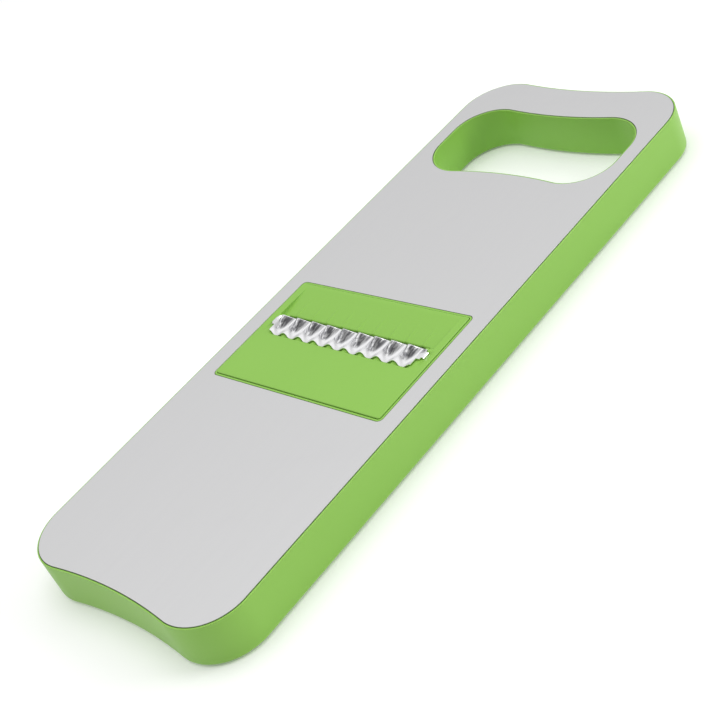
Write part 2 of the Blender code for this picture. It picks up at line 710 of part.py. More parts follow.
clear_scene()
green = material("green plastic", (0.27, 0.56, 0.10), 0.42)
pale = material("pale plastic", (0.72, 0.74, 0.70), 0.55)
film = material("bonding film", (0.80, 0.80, 0.76), 0.60)
steel = material("satin steel", (0.66, 0.66, 0.67), 0.34, 1.0)
blade_steel = material("polished steel", (0.72, 0.72, 0.74), 0.18, 1.0)
rubber = material("grey rubber", (0.10, 0.11, 0.10), 0.80)
make_tub(green)
make_core(pale)
make_film(film)
make_plate(steel)
make_screws(blade_steel)
make_feet(rubber)
lift = insert_origin()
make_insert_frame(green, lift)
make_blade(blade_steel, lift)
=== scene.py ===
# %% [markdown]
# # A mandoline slicer, dressed around its fixed frame
#
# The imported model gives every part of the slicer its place: a green moulded body, a bonded steel plate,
# a lift-out shredding insert with a toothed blade, and the screws and rubber feet below. This lesson
# makes the visible surfaces again at a fine resolution and gives them real finishes. It starts by
# loading that model, because every later place and size is measured from it.

import math

import bmesh
import bpy
import numpy as np
from mathutils import Matrix, Vector


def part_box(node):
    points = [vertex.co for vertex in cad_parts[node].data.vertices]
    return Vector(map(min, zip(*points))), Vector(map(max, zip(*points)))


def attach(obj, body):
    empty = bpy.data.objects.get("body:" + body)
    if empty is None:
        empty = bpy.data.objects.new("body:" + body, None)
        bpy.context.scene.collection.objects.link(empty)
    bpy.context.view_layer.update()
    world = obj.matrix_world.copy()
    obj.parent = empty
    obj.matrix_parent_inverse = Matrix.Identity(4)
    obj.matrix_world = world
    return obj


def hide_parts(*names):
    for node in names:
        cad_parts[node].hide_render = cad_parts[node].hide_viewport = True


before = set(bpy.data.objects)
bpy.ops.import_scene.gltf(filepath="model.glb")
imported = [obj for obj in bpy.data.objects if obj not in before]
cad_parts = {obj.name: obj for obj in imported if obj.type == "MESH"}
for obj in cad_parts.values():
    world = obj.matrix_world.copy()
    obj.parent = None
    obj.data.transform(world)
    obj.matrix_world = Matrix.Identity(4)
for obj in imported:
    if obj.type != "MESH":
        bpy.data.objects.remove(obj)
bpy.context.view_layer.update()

# %% [markdown]
# ## Sizes
#
# A moulding drawing works in millimetres, and so does this script: a mesh becomes metres only when it is
# made. Widths, lengths and levels come from the frame's boxes. What a box can't tell, such as the radius
# of a corner or the width of a lip, is a named value here.

# %% Measure the frame
MM = 0.001


def box_mm(node):
    """The lowest and highest corner of a frame node, in millimetres."""
    low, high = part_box(node)
    return np.array(low) / MM, np.array(high) / MM


def middle_mm(node):
    """The middle of a frame node seen from above, in millimetres."""
    low, high = box_mm(node)
    return (low[:2] + high[:2]) / 2


plate_low, plate_high = box_mm("top_plate")
tub_low, tub_high = box_mm("body_tub")
insert_low, insert_high = box_mm("insert_frame")
blade_high = box_mm("blade")[1]
film_low = box_mm("plate_bond_film")[0]
PLATE_WIDTH, PLATE_LENGTH, PLATE_THICKNESS = plate_high - plate_low
Z_TOP, Z_PLATE = plate_high[2], plate_low[2]
Z_UNDER = tub_low[2]
Z_STEP = film_low[2]
Z_INSERT_TOP, Z_SKIRT = insert_high[2], insert_low[2]
print(f"plate {PLATE_WIDTH:.1f} x {PLATE_LENGTH:.1f} x {PLATE_THICKNESS:.1f} mm, top at {Z_TOP:.2f} mm")

# %% Sizes that a box can't tell
PLATE_CORNER = 19.3
PLATE_END = 210.0
GAP = 0.2
FIT_GAP = 0.3
LIP = 0.55
LIP_SUNK = 0.25
WALL = 2.4
FLOOR = 2.2
FOOT_ROUND = 1.4
DRAFT = tub_high[0] - plate_high[0] - GAP - LIP

HANDLE_WIDTH = 91.7
HANDLE_LENGTH = 44.2
HANDLE_BAR = 19.8
HANDLE_CORNER = 17.2
HANDLE_END = 186.0
HANDLE_Y = plate_high[1] - HANDLE_BAR - HANDLE_LENGTH / 2

RIM = 0.8
SEAT = 1.2
WELL = GAP + RIM
INSERT_THICKNESS = 3.0
SKIRT_WALL = 1.5
WINDOW_WIDTH, WINDOW_LENGTH = (insert_high - insert_low)[:2] + 2 * (WELL + FIT_GAP)
WINDOW_Y = (insert_low[1] + insert_high[1]) / 2
WINDOW_CORNER = 2.2
Z_LIP = Z_TOP - LIP_SUNK
Z_FLOOR = Z_UNDER + FLOOR
Z_INSERT = Z_INSERT_TOP - INSERT_THICKNESS
Z_SEAT = Z_INSERT - FIT_GAP
print(f"window {WINDOW_WIDTH:.1f} x {WINDOW_LENGTH:.1f} mm at y {WINDOW_Y:.1f}, draft {DRAFT:.2f} mm")

# %% [markdown]
# ## Outlines and the walls that follow them
#
# Nearly every surface of a moulding is one profile carried round one outline: the outer wall, the wall
# of the finger hole, the rim of the window. It could be modelled with bevelled booleans, but those leave
# uneven edge loops. Here an outline is a function of how far it is moved outwards, so a profile given as
# rows of (outward distance, height) turns into a whole grid of points at once, and every edge gets an
# even, real rounding that catches the light.


# %% Outlines
def waved_outline(width, length, corner, end_radius, centre_y):
    """A rounded rectangle whose two ends curve inwards, as a function of its outward growth.

    In words: a corner is an arc of radius corner + growth about its own centre. An end is an arc of
    radius end_radius - growth about a centre outside the shape on X = 0, so far out that both arcs
    touch: their centres are corner + end_radius apart.
    """
    centre_x, corner_y = width / 2 - corner, length / 2 - corner
    centre_rise = math.sqrt((end_radius + corner) ** 2 - centre_x**2)
    lean = math.asin(centre_x / (end_radius + corner))
    turn = np.linspace(0.0, math.pi / 2 + lean, 29)
    sweep = np.linspace(-math.pi / 2 + lean, -math.pi / 2 - lean, 45)[1:-1]

    def outline(growth):
        grow = np.asarray(growth, float).reshape(-1, 1)
        right_x = centre_x + (corner + grow) * np.cos(turn)
        right_y = corner_y + (corner + grow) * np.sin(turn)
        end_x = (end_radius - grow) * np.cos(sweep)
        end_y = corner_y + centre_rise + (end_radius - grow) * np.sin(sweep)
        x = np.hstack([right_x, end_x, -right_x[:, ::-1]])
        y = np.hstack([right_y, end_y, right_y[:, ::-1]])
        return np.stack([np.hstack([x, -x]), np.hstack([y, -y]) + centre_y], axis=-1)

    return outline


LEAST_RADIUS = 0.3


def boxed_outline(width, length, corner, centre_y, stations=()):
    """A rectangle with round corners, as a function of its outward growth.

    In words: each corner is a quarter circle of radius corner + growth, and never less than
    LEAST_RADIUS. The stations are extra points along the two ends, where a later step needs an edge.
    """
    quarter = np.linspace(0.0, math.pi / 2, 9)
    across = np.sort(np.asarray(stations, float))[::-1]

    def outline(growth):
        grow = np.asarray(growth, float).reshape(-1, 1)
        radius = np.maximum(corner + grow, LEAST_RADIUS)
        corner_x = width / 2 + grow - radius + radius * np.cos(quarter)
        corner_y = length / 2 + grow - radius + radius * np.sin(quarter)
        straight_x = np.broadcast_to(across, (len(grow), len(across)))
        straight_y = np.broadcast_to(length / 2 + grow, (len(grow), len(across)))
        x = np.hstack([corner_x, straight_x, -corner_x[:, ::-1]])
        y = np.hstack([corner_y, straight_y, corner_y[:, ::-1]])
        return np.stack([np.hstack([x, -x]), np.hstack([y, -y]) + centre_y], axis=-1)

    return outline


def round_outline(x, y, points=40):
    """A circle about (x, y), whose growth is its radius."""
    turn = np.linspace(0.0, 2 * math.pi, points, endpoint=False)

    def outline(growth):
        radius = np.asarray(growth, float).reshape(-1, 1)
        return np.stack([x + radius * np.cos(turn), y + radius * np.sin(turn)], axis=-1)

    return outline


plate_edge = waved_outline(PLATE_WIDTH, PLATE_LENGTH, PLATE_CORNER, PLATE_END, 0.0)
handle_edge = waved_outline(HANDLE_WIDTH, HANDLE_LENGTH, HANDLE_CORNER, HANDLE_END, HANDLE_Y)
window_edge = boxed_outline(WINDOW_WIDTH, WINDOW_LENGTH, WINDOW_CORNER, WINDOW_Y)
print("points round the plate:", plate_edge(0.0).shape[1], "round the window:", window_edge(0.0).shape[1])

# %% [markdown]
# A profile is given by its corners, and each corner carries an easing length. A mould is cut with a
# round tool, so no corner of the real part is perfectly sharp. The same step marks which rows lie on a
# rounded edge, and the finishes use that mark later to polish edges and to paint them paler or darker: a
# painted highlight or a painted shade.


# %% Profiles with eased corners
def eased(corners, steps=6):
    """The rows of a profile, and how strongly each row lies on a rounded edge, from 0 to 1.

    In words: corners are (distance, height, easing). Each inner corner P becomes the curve
    (1-s)^2 A + 2 s (1-s) P + s^2 B, where A and B lie the easing length before and after P on the
    profile's straight stretches. The edge mark is 4 s (1-s).
    """
    rows = np.array(corners, float)
    place, ease = rows[:, :2], rows[1:-1, 2:]
    before, after = place[:-2] - place[1:-1], place[2:] - place[1:-1]
    a = place[1:-1] + ease * before / np.linalg.norm(before, axis=1, keepdims=True)
    b = place[1:-1] + ease * after / np.linalg.norm(after, axis=1, keepdims=True)
    s = np.linspace(0.0, 1.0, steps + 1)[None, :, None]
    curve = (1 - s) ** 2 * a[:, None] + 2 * s * (1 - s) * place[1:-1][:, None] + s**2 * b[:, None]
    mark = np.broadcast_to(4 * s[..., 0] * (1 - s[..., 0]), curve.shape[:2])
    points = np.vstack([place[:1], curve.reshape(-1, 2), place[-1:]])
    return points, np.concatenate([[0.0], mark.ravel(), [0.0]])


def wall(outline, corners, steps=6):
    """A profile carried round an outline: points (rows, columns, 3) and edge marks (rows, columns)."""
    rows, mark = eased(corners, steps)
    flat = outline(rows[:, 0])
    height = np.broadcast_to(rows[:, 1, None], flat.shape[:2])
    return np.dstack([flat, height]), np.broadcast_to(mark[:, None], flat.shape[:2])


# %% [markdown]
# ## From point grids to a closed mesh
#
# A piece is several grids: walls that close on themselves round an outline, and open sheets. What is
# left open between them is always flat, such as the steel's face or the body's underside, and a fill of
# that level closes it. The fills are shaded flat and the walls smooth, and each wall starts with a short
# flat margin, so the light rolls evenly from a face into its rounded edge.


# %% The mesh maker
SAME_POINT = 1e-7


def grid_faces(rows, columns, first, keep, closed):
    """Quads of a grid as indices into one point list, less the cells that aren't kept.

    A closed grid's last column joins its first one again.
    """
    i, j = np.meshgrid(np.arange(rows - 1), np.arange(columns if closed else columns - 1), indexing="ij")
    here, below = i * columns, (i + 1) * columns
    after = (j + 1) % columns
    quads = np.stack([here + j, below + j, below + after, here + after], axis=-1)
    if keep is not None:
        quads = quads[keep]
    return (quads.reshape(-1, 4) + first).tolist()


def fill_level(bm, z, up):
    """Closes what is open at one height with flat faces that look up or down."""
    open_edges = [
        edge
        for edge in bm.edges
        if edge.is_boundary and all(abs(corner.co.z - z * MM) < SAME_POINT for corner in edge.verts)
    ]
    facing = (0.0, 0.0, 1.0 if up else -1.0)
    made = bmesh.ops.triangle_fill(bm, edges=open_edges, use_beauty=True, normal=facing)
    for face in made["geom"]:
        if isinstance(face, bmesh.types.BMFace):
            face.smooth = False
            if (face.normal.z > 0) != up:
                face.normal_flip()


def make_piece(name, walls, levels=(), sheets=(), extra_faces=()):
    """One closed mesh object from walls, sheets and flat fills, with its edge marks as an attribute.

    walls holds (points, marks) or (points, marks, kept cells), and sheets the same for open grids.
    levels holds (height, looks up), the lowest first.
    """
    points, marks, faces = [], [], []
    count = 0
    for grids, closed in ((walls, True), (sheets, False)):
        for grid, mark, *keep in grids:
            rows, columns = grid.shape[:2]
            faces += grid_faces(rows, columns, count, keep[0] if keep else None, closed)
            points.append(grid.reshape(-1, 3))
            marks.append(np.ravel(mark))
            count += rows * columns
    mesh = bpy.data.meshes.new(name)
    mesh.from_pydata(np.vstack(points) * MM, [], faces + list(extra_faces))
    mesh.attributes.new("edge", "FLOAT", "POINT").data.foreach_set("value", np.concatenate(marks))
    mesh.shade_smooth()
    bm = bmesh.new()
    bm.from_mesh(mesh)
    loose = [corner for corner in bm.verts if not corner.link_faces]
    bmesh.ops.delete(bm, geom=loose, context="VERTS")
    bmesh.ops.remove_doubles(bm, verts=bm.verts, dist=SAME_POINT)
    for z, up in levels:
        bm.normal_update()
        fill_level(bm, z, up)
    open_edges = sum(not edge.is_manifold for edge in bm.edges)
    volume = bm.calc_volume(signed=True) / MM**3
    bm.to_mesh(mesh)
    bm.free()
    piece = bpy.data.objects.new(name, mesh)
    bpy.context.scene.collection.objects.link(piece)
    print(f"{name}: {len(mesh.polygons)} faces, {volume:.0f} mm3, {open_edges} open edges")
    return piece


# %% [markdown]
# ## The moulded body
#
# The real body is one injection moulding in lime green plastic: an open tub with a floor, a wall round
# the finger hole, and a well that the insert drops into. A thin lip stands round the steel plate, a
# quarter of a millimetre lower than its face, and the same lip goes round the finger hole. Its profiles
# are walked so that the material is always on the same side: down an outer wall, and up the wall of a
# hole.

# %% Body walls
LIP_TOP_EASE = 0.28
LIP_INNER_EASE = 0.12
outer_wall = wall(
    plate_edge,
    [
        (GAP + LIP - WALL, Z_FLOOR, 0),
        (GAP + LIP - WALL, Z_STEP, 0.3),
        (GAP, Z_STEP, 0.1),
        (GAP, Z_LIP, LIP_INNER_EASE),
        (GAP + LIP, Z_LIP, LIP_TOP_EASE),
        (GAP + LIP + DRAFT, Z_UNDER, FOOT_ROUND),
        (GAP + LIP + DRAFT - 2 * FOOT_ROUND, Z_UNDER, 0),
    ],
)
HANDLE_FLARE = 1.2
CHUTE_FLAT = 0.8
handle_wall = wall(
    handle_edge,
    [
        (2 * HANDLE_FLARE, Z_UNDER, 0),
        (0, Z_UNDER, HANDLE_FLARE),
        (0, Z_LIP, LIP_TOP_EASE),
        (LIP, Z_LIP, LIP_INNER_EASE),
        (LIP, Z_STEP, 0.1),
        (WALL, Z_STEP, 0.3),
        (WALL, Z_FLOOR, 0),
    ],
)
well_wall = wall(
    window_edge,
    [
        (CHUTE_FLAT - WELL - SEAT, Z_UNDER, 0),
        (-WELL - SEAT, Z_UNDER, 0.5),
        (-WELL - SEAT, Z_SEAT, 0.2),
        (-WELL, Z_SEAT, 0.2),
        (-WELL, Z_TOP, 0.2),
        (-GAP, Z_TOP, LIP_INNER_EASE),
        (-GAP, Z_STEP, 0.1),
        (WALL - WELL, Z_STEP, 0.2),
        (WALL - WELL, Z_FLOOR, 0),
    ],
)
print("body walls:", outer_wall[0].shape, handle_wall[0].shape, well_wall[0].shape)

# %% [markdown]
# Six screws and four feet go through the floor. Each hole is a profile carried round a circle, at the
# place where the frame has its screw or foot: a countersink for a screw's head, a pocket for a foot.

# %% Holes in the floor, and the body itself
screw_names = [f"core_screw_{i}" for i in range(1, 7)]
foot_names = [f"foot_{i}" for i in range(1, 5)]
SCREW_HEAD = 2.9
SCREW_SHANK = 1.45
SCREW_HEAD_HEIGHT = 1.5
FOOT_PAD = 5.5
FOOT_STEM = 2.2
FOOT_POCKET = 0.8
countersink = [
    (SCREW_HEAD + 2 * FIT_GAP, Z_UNDER, 0),
    (SCREW_HEAD + FIT_GAP, Z_UNDER, 0.15),
    (SCREW_HEAD + FIT_GAP, Z_UNDER + FLOOR - SCREW_HEAD_HEIGHT + FIT_GAP, 0.1),
    (SCREW_SHANK + FIT_GAP, Z_FLOOR - FIT_GAP, 0.1),
    (SCREW_SHANK + FIT_GAP, Z_FLOOR, 0),
]
pocket = [
    (FOOT_PAD + 2 * FIT_GAP, Z_UNDER, 0),
    (FOOT_PAD + FIT_GAP, Z_UNDER, 0.2),
    (FOOT_PAD + FIT_GAP, Z_UNDER + FOOT_POCKET, 0.1),
    (FOOT_STEM + FIT_GAP, Z_UNDER + FOOT_POCKET, 0.1),
    (FOOT_STEM + FIT_GAP, Z_FLOOR, 0),
]
holes = [wall(round_outline(*middle_mm(name)), countersink, 3) for name in screw_names]
holes += [wall(round_outline(*middle_mm(name)), pocket, 3) for name in foot_names]
body = make_piece(
    "moulded_body", [outer_wall, handle_wall, well_wall, *holes], [(Z_UNDER, False), (Z_FLOOR, True)]
)
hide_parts("body_tub")
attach(body, "slicer_body")

# %% [markdown]
# ## The steel plate
#
# The working face is a stamped sheet of stainless steel, 0.8 mm thick, glued on a film. Stamping rolls
# the upper edge over very slightly, and with a painted shade in the edge colour this shows as a fine dark
# line beside the green lip. So its three edges are walls with a small easing, and its two faces are flat
# fills.

# %% Steel sheet
SHEET_ROLL = 0.14
SHEET_BURR = 0.08
MARGIN = 0.5


def sheet_hole(outline, offset):
    """The edge of a hole in the sheet, from its lower face up to its upper face."""
    flat = offset + MARGIN
    low, high = (offset, Z_PLATE, SHEET_BURR), (offset, Z_TOP, SHEET_ROLL)
    return wall(outline, [(flat, Z_PLATE, 0), low, high, (flat, Z_TOP, 0)])


sheet_rim = wall(
    plate_edge,
    [(-MARGIN, Z_TOP, 0), (0, Z_TOP, SHEET_ROLL), (0, Z_PLATE, SHEET_BURR), (-MARGIN, Z_PLATE, 0)],
)
steel = make_piece(
    "steel_sheet",
    [sheet_rim, sheet_hole(handle_edge, GAP + LIP), sheet_hole(window_edge, 0.0)],
    [(Z_PLATE, False), (Z_TOP, True)],
)
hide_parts("top_plate")
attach(steel, "slicer_body")

# %% [markdown]
# ## The insert's upper face
#
# The insert is a green moulding that stands a third of a millimetre proud of the steel. In front of the
# blade a shallow ramp falls towards a slot, the mouth, between two side rails. Fine ribs on the ramp
# lead into the teeth, and behind the mouth there is one hollow under each tooth, as deep as it dips. All
# of that is one height for each place, so it is a function of x and y on a grid. The grid's lines are
# packed closely wherever the function turns quickly, and nowhere else.

# %% Numbers of the insert's face
TOOTH_COUNT = 9
TOOTH_PITCH = 8.47
TEETH_HALF = TOOTH_COUNT * TOOTH_PITCH / 2
BLADE_Y = WINDOW_Y + 7.3
MOUTH_FRONT = BLADE_Y + 2.9
MOUTH_BACK = BLADE_Y - 4.2
MOUTH_HALF = TEETH_HALF - FIT_GAP
SHELF_OVERLAP = 1.0
SHELF_BACK = BLADE_Y - 9.8
SHELF_DEPTH = 1.55
SHELF_SHALLOW = 0.1
RAIL_WIDTH = 3.2
RAMP_HALF = insert_high[0] - RAIL_WIDTH
RAMP_BACK = MOUTH_FRONT - 1.45
RAMP_START = insert_high[1] - 1.6
RAMP_DROP = 1.65
RIB_HALF = 0.95
RIB_HEIGHT = 0.32
RIB_REACH = 11.0
STEP_WIDTH = 0.24
RAIL_MARGIN = 0.4
NEAR = 0.01
LINE_DECIMALS = 4
LEG_X = TEETH_HALF + 2.6
SLOT_HALF = 0.55
SLOT_BACK, SLOT_FRONT = BLADE_Y - 4.38, BLADE_Y - 0.72
FACE_INSET = 1.4
FACE_X = insert_high[0] - FACE_INSET
FACE_LOW, FACE_HIGH = insert_low[1] + FACE_INSET, insert_high[1] - 1.2


def rise(value, start, width):
    """0 before start - width/2 and 1 after start + width/2, with 3 s^2 - 2 s^3 between."""
    s = np.clip((value - start) / width + 0.5, 0.0, 1.0)
    return s * s * (3 - 2 * s)


def insert_height(x, y):
    """The height of the insert's upper face.

    In words: the top, minus the ramp's fall between the rails, minus the hollows, plus the ribs. The
    fall grows in proportion from RAMP_START to RAMP_DROP at the mouth. A hollow's depth goes from
    SHELF_SHALLOW between two teeth to SHELF_DEPTH under a tooth, as cos^2. A rib is cos^2 across, and
    grows in proportion over its last RIB_REACH before the mouth.
    """
    fall = RAMP_DROP * np.clip((RAMP_START - y) / (RAMP_START - MOUTH_FRONT), 0.0, None)
    ramp = fall * rise(y, RAMP_BACK, STEP_WIDTH) * rise(RAMP_HALF - np.abs(x), 0.0, STEP_WIDTH)
    off_centre = np.mod(x / TOOTH_PITCH + TOOTH_COUNT / 2, 1.0) - 0.5
    depth = SHELF_SHALLOW + (SHELF_DEPTH - SHELF_SHALLOW) * np.cos(np.pi * off_centre) ** 2
    shelf = depth * rise(y, SHELF_BACK, STEP_WIDTH) * rise(MOUTH_HALF - np.abs(x), 0.0, STEP_WIDTH)
    shelf = shelf * rise(MOUTH_BACK + SHELF_OVERLAP - y, 0.0, STEP_WIDTH)
    across = np.cos(np.pi / 2 * np.clip(off_centre * TOOTH_PITCH / RIB_HALF, -1.0, 1.0)) ** 2
    along = np.clip((MOUTH_FRONT + RIB_REACH - y) / RIB_REACH, 0.0, 1.0) * (y > MOUTH_FRONT - NEAR)
    ribs = RIB_HEIGHT * across * along * (np.abs(x) < TEETH_HALF)
    return Z_INSERT_TOP - ramp - shelf + ribs


print(f"ramp height at the mouth: {insert_height(0.0, MOUTH_FRONT):.2f} mm")

# %% Grid of the insert's face
STEP_LINES = np.linspace(-STEP_WIDTH / 2, STEP_WIDTH / 2, 7)
rib_centres = (np.arange(TOOTH_COUNT) - (TOOTH_COUNT - 1) / 2) * TOOTH_PITCH
tooth_lines = np.append(
    np.linspace(-RIB_HALF, RIB_HALF, 9), np.linspace(-TOOTH_PITCH / 2, TOOTH_PITCH / 2, 25)
)
rib_lines = (rib_centres[:, None] + tooth_lines).ravel()
slot_lines = [LEG_X - SLOT_HALF, LEG_X + SLOT_HALF]
half_lines = np.concatenate(
    [
        [FACE_X, RAMP_HALF - RAIL_MARGIN, MOUTH_HALF],
        RAMP_HALF + STEP_LINES,
        MOUTH_HALF + STEP_LINES[:-1],
        slot_lines,
    ]
)


def grid_lines(*groups):
    """All the lines of one direction, in order, with equal ones merged."""
    return np.unique(np.round(np.concatenate(groups), LINE_DECIMALS))


x_lines = grid_lines(half_lines, -half_lines, rib_lines)
y_lines = grid_lines(
    [FACE_LOW, SLOT_BACK, SLOT_FRONT, MOUTH_BACK, FACE_HIGH, SHELF_BACK - STEP_WIDTH],
    SHELF_BACK + STEP_LINES,
    RAMP_BACK + STEP_LINES,
    np.linspace(MOUTH_FRONT, RAMP_START, 24),
)
face_x, face_y = np.meshgrid(x_lines, y_lines, indexing="ij")
face = np.stack([face_x, face_y, insert_height(face_x, face_y)], axis=-1)
cell_x = (face_x[1:, 1:] + face_x[:-1, :-1]) / 2
cell_y = (face_y[1:, 1:] + face_y[:-1, :-1]) / 2
in_mouth = (np.abs(cell_x) < MOUTH_HALF) & (cell_y > MOUTH_BACK) & (cell_y < MOUTH_FRONT)
in_slot = (np.abs(np.abs(cell_x) - LEG_X) < SLOT_HALF) & (cell_y > SLOT_BACK) & (cell_y < SLOT_FRONT)
face_keep = ~(in_mouth | in_slot)
print("insert face grid:", face.shape[:2], "cells kept:", int(face_keep.sum()))

# %% [markdown]
# ## The insert's walls
#
# Round the face goes the rim: a short flat, an eased edge, the side, the underside of the flange that
# sits in the well, and a skirt that reaches down into the opening. In the skirt's two long walls, thin
# slits free a tongue with a small bump that snaps into the well. A slit could be cut with a boolean; a
# grid can leave out the slit's own cells and close the cut with three faces, which keeps clean edges.

# %% Rim, skirt and snap tongues
TONGUE_HALF = 7.0
SLIT = 1.0
SLIT_TOP = Z_INSERT - 1.5
BUMP_HALF = TONGUE_HALF * 2 / 3
BUMP_LOW, BUMP_HIGH = Z_SKIRT + 1.0, Z_SKIRT + 2.0
BUMP_SLOPE = 0.2
BUMP_PROUD = 0.2
RIM_FLAT = 0.9
DECK_FLAT = 0.12
SHARP = 0.01
INSERT_EDGE_EASE = 0.38
skirt_out = -WELL - FIT_GAP - SEAT
skirt_in = skirt_out - SKIRT_WALL
Z_DECK_UNDER = Z_INSERT + 0.2
slit_stations = [-TONGUE_HALF - SLIT, -TONGUE_HALF, -BUMP_HALF, BUMP_HALF, TONGUE_HALF, TONGUE_HALF + SLIT]
insert_edge = boxed_outline(WINDOW_WIDTH, WINDOW_LENGTH, WINDOW_CORNER, WINDOW_Y, slit_stations)
rim, rim_mark = wall(
    insert_edge,
    [
        (-WELL - FIT_GAP - RIM_FLAT, Z_INSERT_TOP, 0),
        (-WELL - FIT_GAP, Z_INSERT_TOP, INSERT_EDGE_EASE),
        (-WELL - FIT_GAP, Z_INSERT, 0.2),
        (skirt_out, Z_INSERT, 0.1),
        (skirt_out, SLIT_TOP, SHARP),
        (skirt_out, BUMP_HIGH + BUMP_SLOPE, SHARP),
        (skirt_out, BUMP_HIGH, SHARP),
        (skirt_out, BUMP_LOW, SHARP),
        (skirt_out, BUMP_LOW - BUMP_SLOPE, SHARP),
        (skirt_out, Z_SKIRT, 0.35),
        (skirt_in, Z_SKIRT, 0.35),
        (skirt_in, SLIT_TOP, SHARP),
        (skirt_in, Z_DECK_UNDER, 0.08),
        (skirt_in - DECK_FLAT, Z_DECK_UNDER, 0),
    ],
    steps=4,
)
on_tongue = np.abs(rim[..., 0]) < BUMP_HALF + NEAR
on_bump = on_tongue & (rim[..., 2] > BUMP_LOW - 2 * NEAR) & (rim[..., 2] < BUMP_HIGH + 2 * NEAR)
outside = np.abs(rim[..., 1] - WINDOW_Y) > WINDOW_LENGTH / 2 + skirt_out - NEAR
rim[..., 1] += np.where(on_bump & outside, BUMP_PROUD * np.sign(rim[..., 1] - WINDOW_Y), 0.0)

slit_rows = np.nonzero(np.isclose(rim[:, 0, 2], SLIT_TOP))[0]
cut_first, cut_last = slit_rows.min(), slit_rows.max()
columns = rim.shape[1]
next_x = np.roll(rim[0, :, 0], -1)
middle_x = np.abs(rim[0, :, 0] + next_x) / 2
straight = np.abs(rim[0, :, 0] - next_x) < SLIT + NEAR
slit_column = straight & (middle_x > TONGUE_HALF) & (middle_x < TONGUE_HALF + SLIT)
rim_keep = np.ones((len(rim) - 1, columns), bool)
rim_keep[cut_first:cut_last, slit_column] = False
slit_faces = []
for column in np.nonzero(slit_column)[0]:
    after = (column + 1) % columns
    edge_rows = np.arange(cut_first, cut_last + 1) * columns
    slit_faces.append((edge_rows + column).tolist())
    slit_faces.append((edge_rows + after)[::-1].tolist())
    top = [cut_first * columns + column, cut_last * columns + column]
    slit_faces.append([*top, cut_last * columns + after, cut_first * columns + after])
print("slits:", int(slit_column.sum()), "rows cut:", cut_first, "to", cut_last)

# %% [markdown]
# The mouth and the two slots for the blade's legs go right through. The wall of each is a loop of the
# face's own grid points, carried straight down to the underside, so it meets the face with no gap.


# %% Walls of the openings, and the insert itself
def opening_wall(low, high):
    """A rectangle's wall, from the underside up to the face's height, along the face's own grid lines."""
    rounding = 10.0**-LINE_DECIMALS
    xs = x_lines[(x_lines > low[0] - rounding) & (x_lines < high[0] + rounding)]
    ys = y_lines[(y_lines > low[1] - rounding) & (y_lines < high[1] + rounding)]
    loop_x = np.concatenate([np.full(len(ys) - 1, xs[-1]), xs[:0:-1], np.full(len(ys) - 1, xs[0]), xs[:-1]])
    loop_y = np.concatenate([ys[:-1], np.full(len(xs) - 1, ys[-1]), ys[:0:-1], np.full(len(xs) - 1, ys[0])])
    under = np.column_stack([loop_x, loop_y, np.full(len(loop_x), Z_DECK_UNDER)])
    over = np.column_stack([loop_x, loop_y, insert_height(loop_x, loop_y)])
    return np.stack([under, over]), np.zeros((2, len(loop_x)))


openings = [
    opening_wall((-MOUTH_HALF, MOUTH_BACK), (MOUTH_HALF, MOUTH_FRONT)),
    opening_wall((LEG_X - SLOT_HALF, SLOT_BACK), (LEG_X + SLOT_HALF, SLOT_FRONT)),
    opening_wall((-LEG_X - SLOT_HALF, SLOT_BACK), (SLOT_HALF - LEG_X, SLOT_FRONT)),
]
insert = make_piece(
    "shredding_insert",
    [(rim, rim_mark, rim_keep), *openings],
    [(Z_DECK_UNDER, False), (Z_INSERT_TOP, True)],
    [(face, np.zeros(face_x.shape), face_keep)],
    slit_faces,
)
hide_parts("insert_frame")
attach(insert, "insert")

# %% [markdown]
# ## The toothed blade
#
# The blade is one strip of polished stainless steel. A press raises nine arches at its front edge and
# pushes the same places down at its rear edge, so that each tooth is a small ramp that scoops. At both
# ends a flat tab bends down through the insert and folds in under it, which is how the strip is held.
# One function of two parameters describes it all: u along the strip and v from front to rear. The
# strip's thickness comes from carrying a closed loop, out over the top and back below, along u.

# %% Numbers of the blade
BLADE_THICKNESS = 0.5
BLADE_LEVEL = Z_TOP + 0.85
BLADE_DEPTH = 8.4
TAB_DEPTH = 5.1
LEG_INSET = 1.02
TOOTH_RISE = 3.05
TOOTH_DIP = 1.4
TOOTH_FALL = 1.6
TOOTH_LEAN = 1.9
TOOTH_TONGUE = 1.1
BEND_RADIUS = 0.6
FOLD_LENGTH = 1.6
FOLD_Z = Z_INSERT - FIT_GAP - BLADE_THICKNESS / 2
STEPS_PER_TOOTH = 32
EDGE_BULGE = 0.35
SHOULDER = 0.02
LEG_START = LEG_X - BEND_RADIUS - 0.3
print(f"{TOOTH_COUNT} teeth, {TOOTH_PITCH:.2f} mm apart, front edge at y {BLADE_Y:.2f} mm")


# %% The blade's line seen from the front
def quarter_turn(centre_x, centre_z, start):
    """A quarter circle of the bend radius, clockwise from its start angle, as x and z."""
    turn = start - np.linspace(0.0, math.pi / 2, 9)
    return np.stack([centre_x + BEND_RADIUS * np.cos(turn), centre_z + BEND_RADIUS * np.sin(turn)], axis=-1)


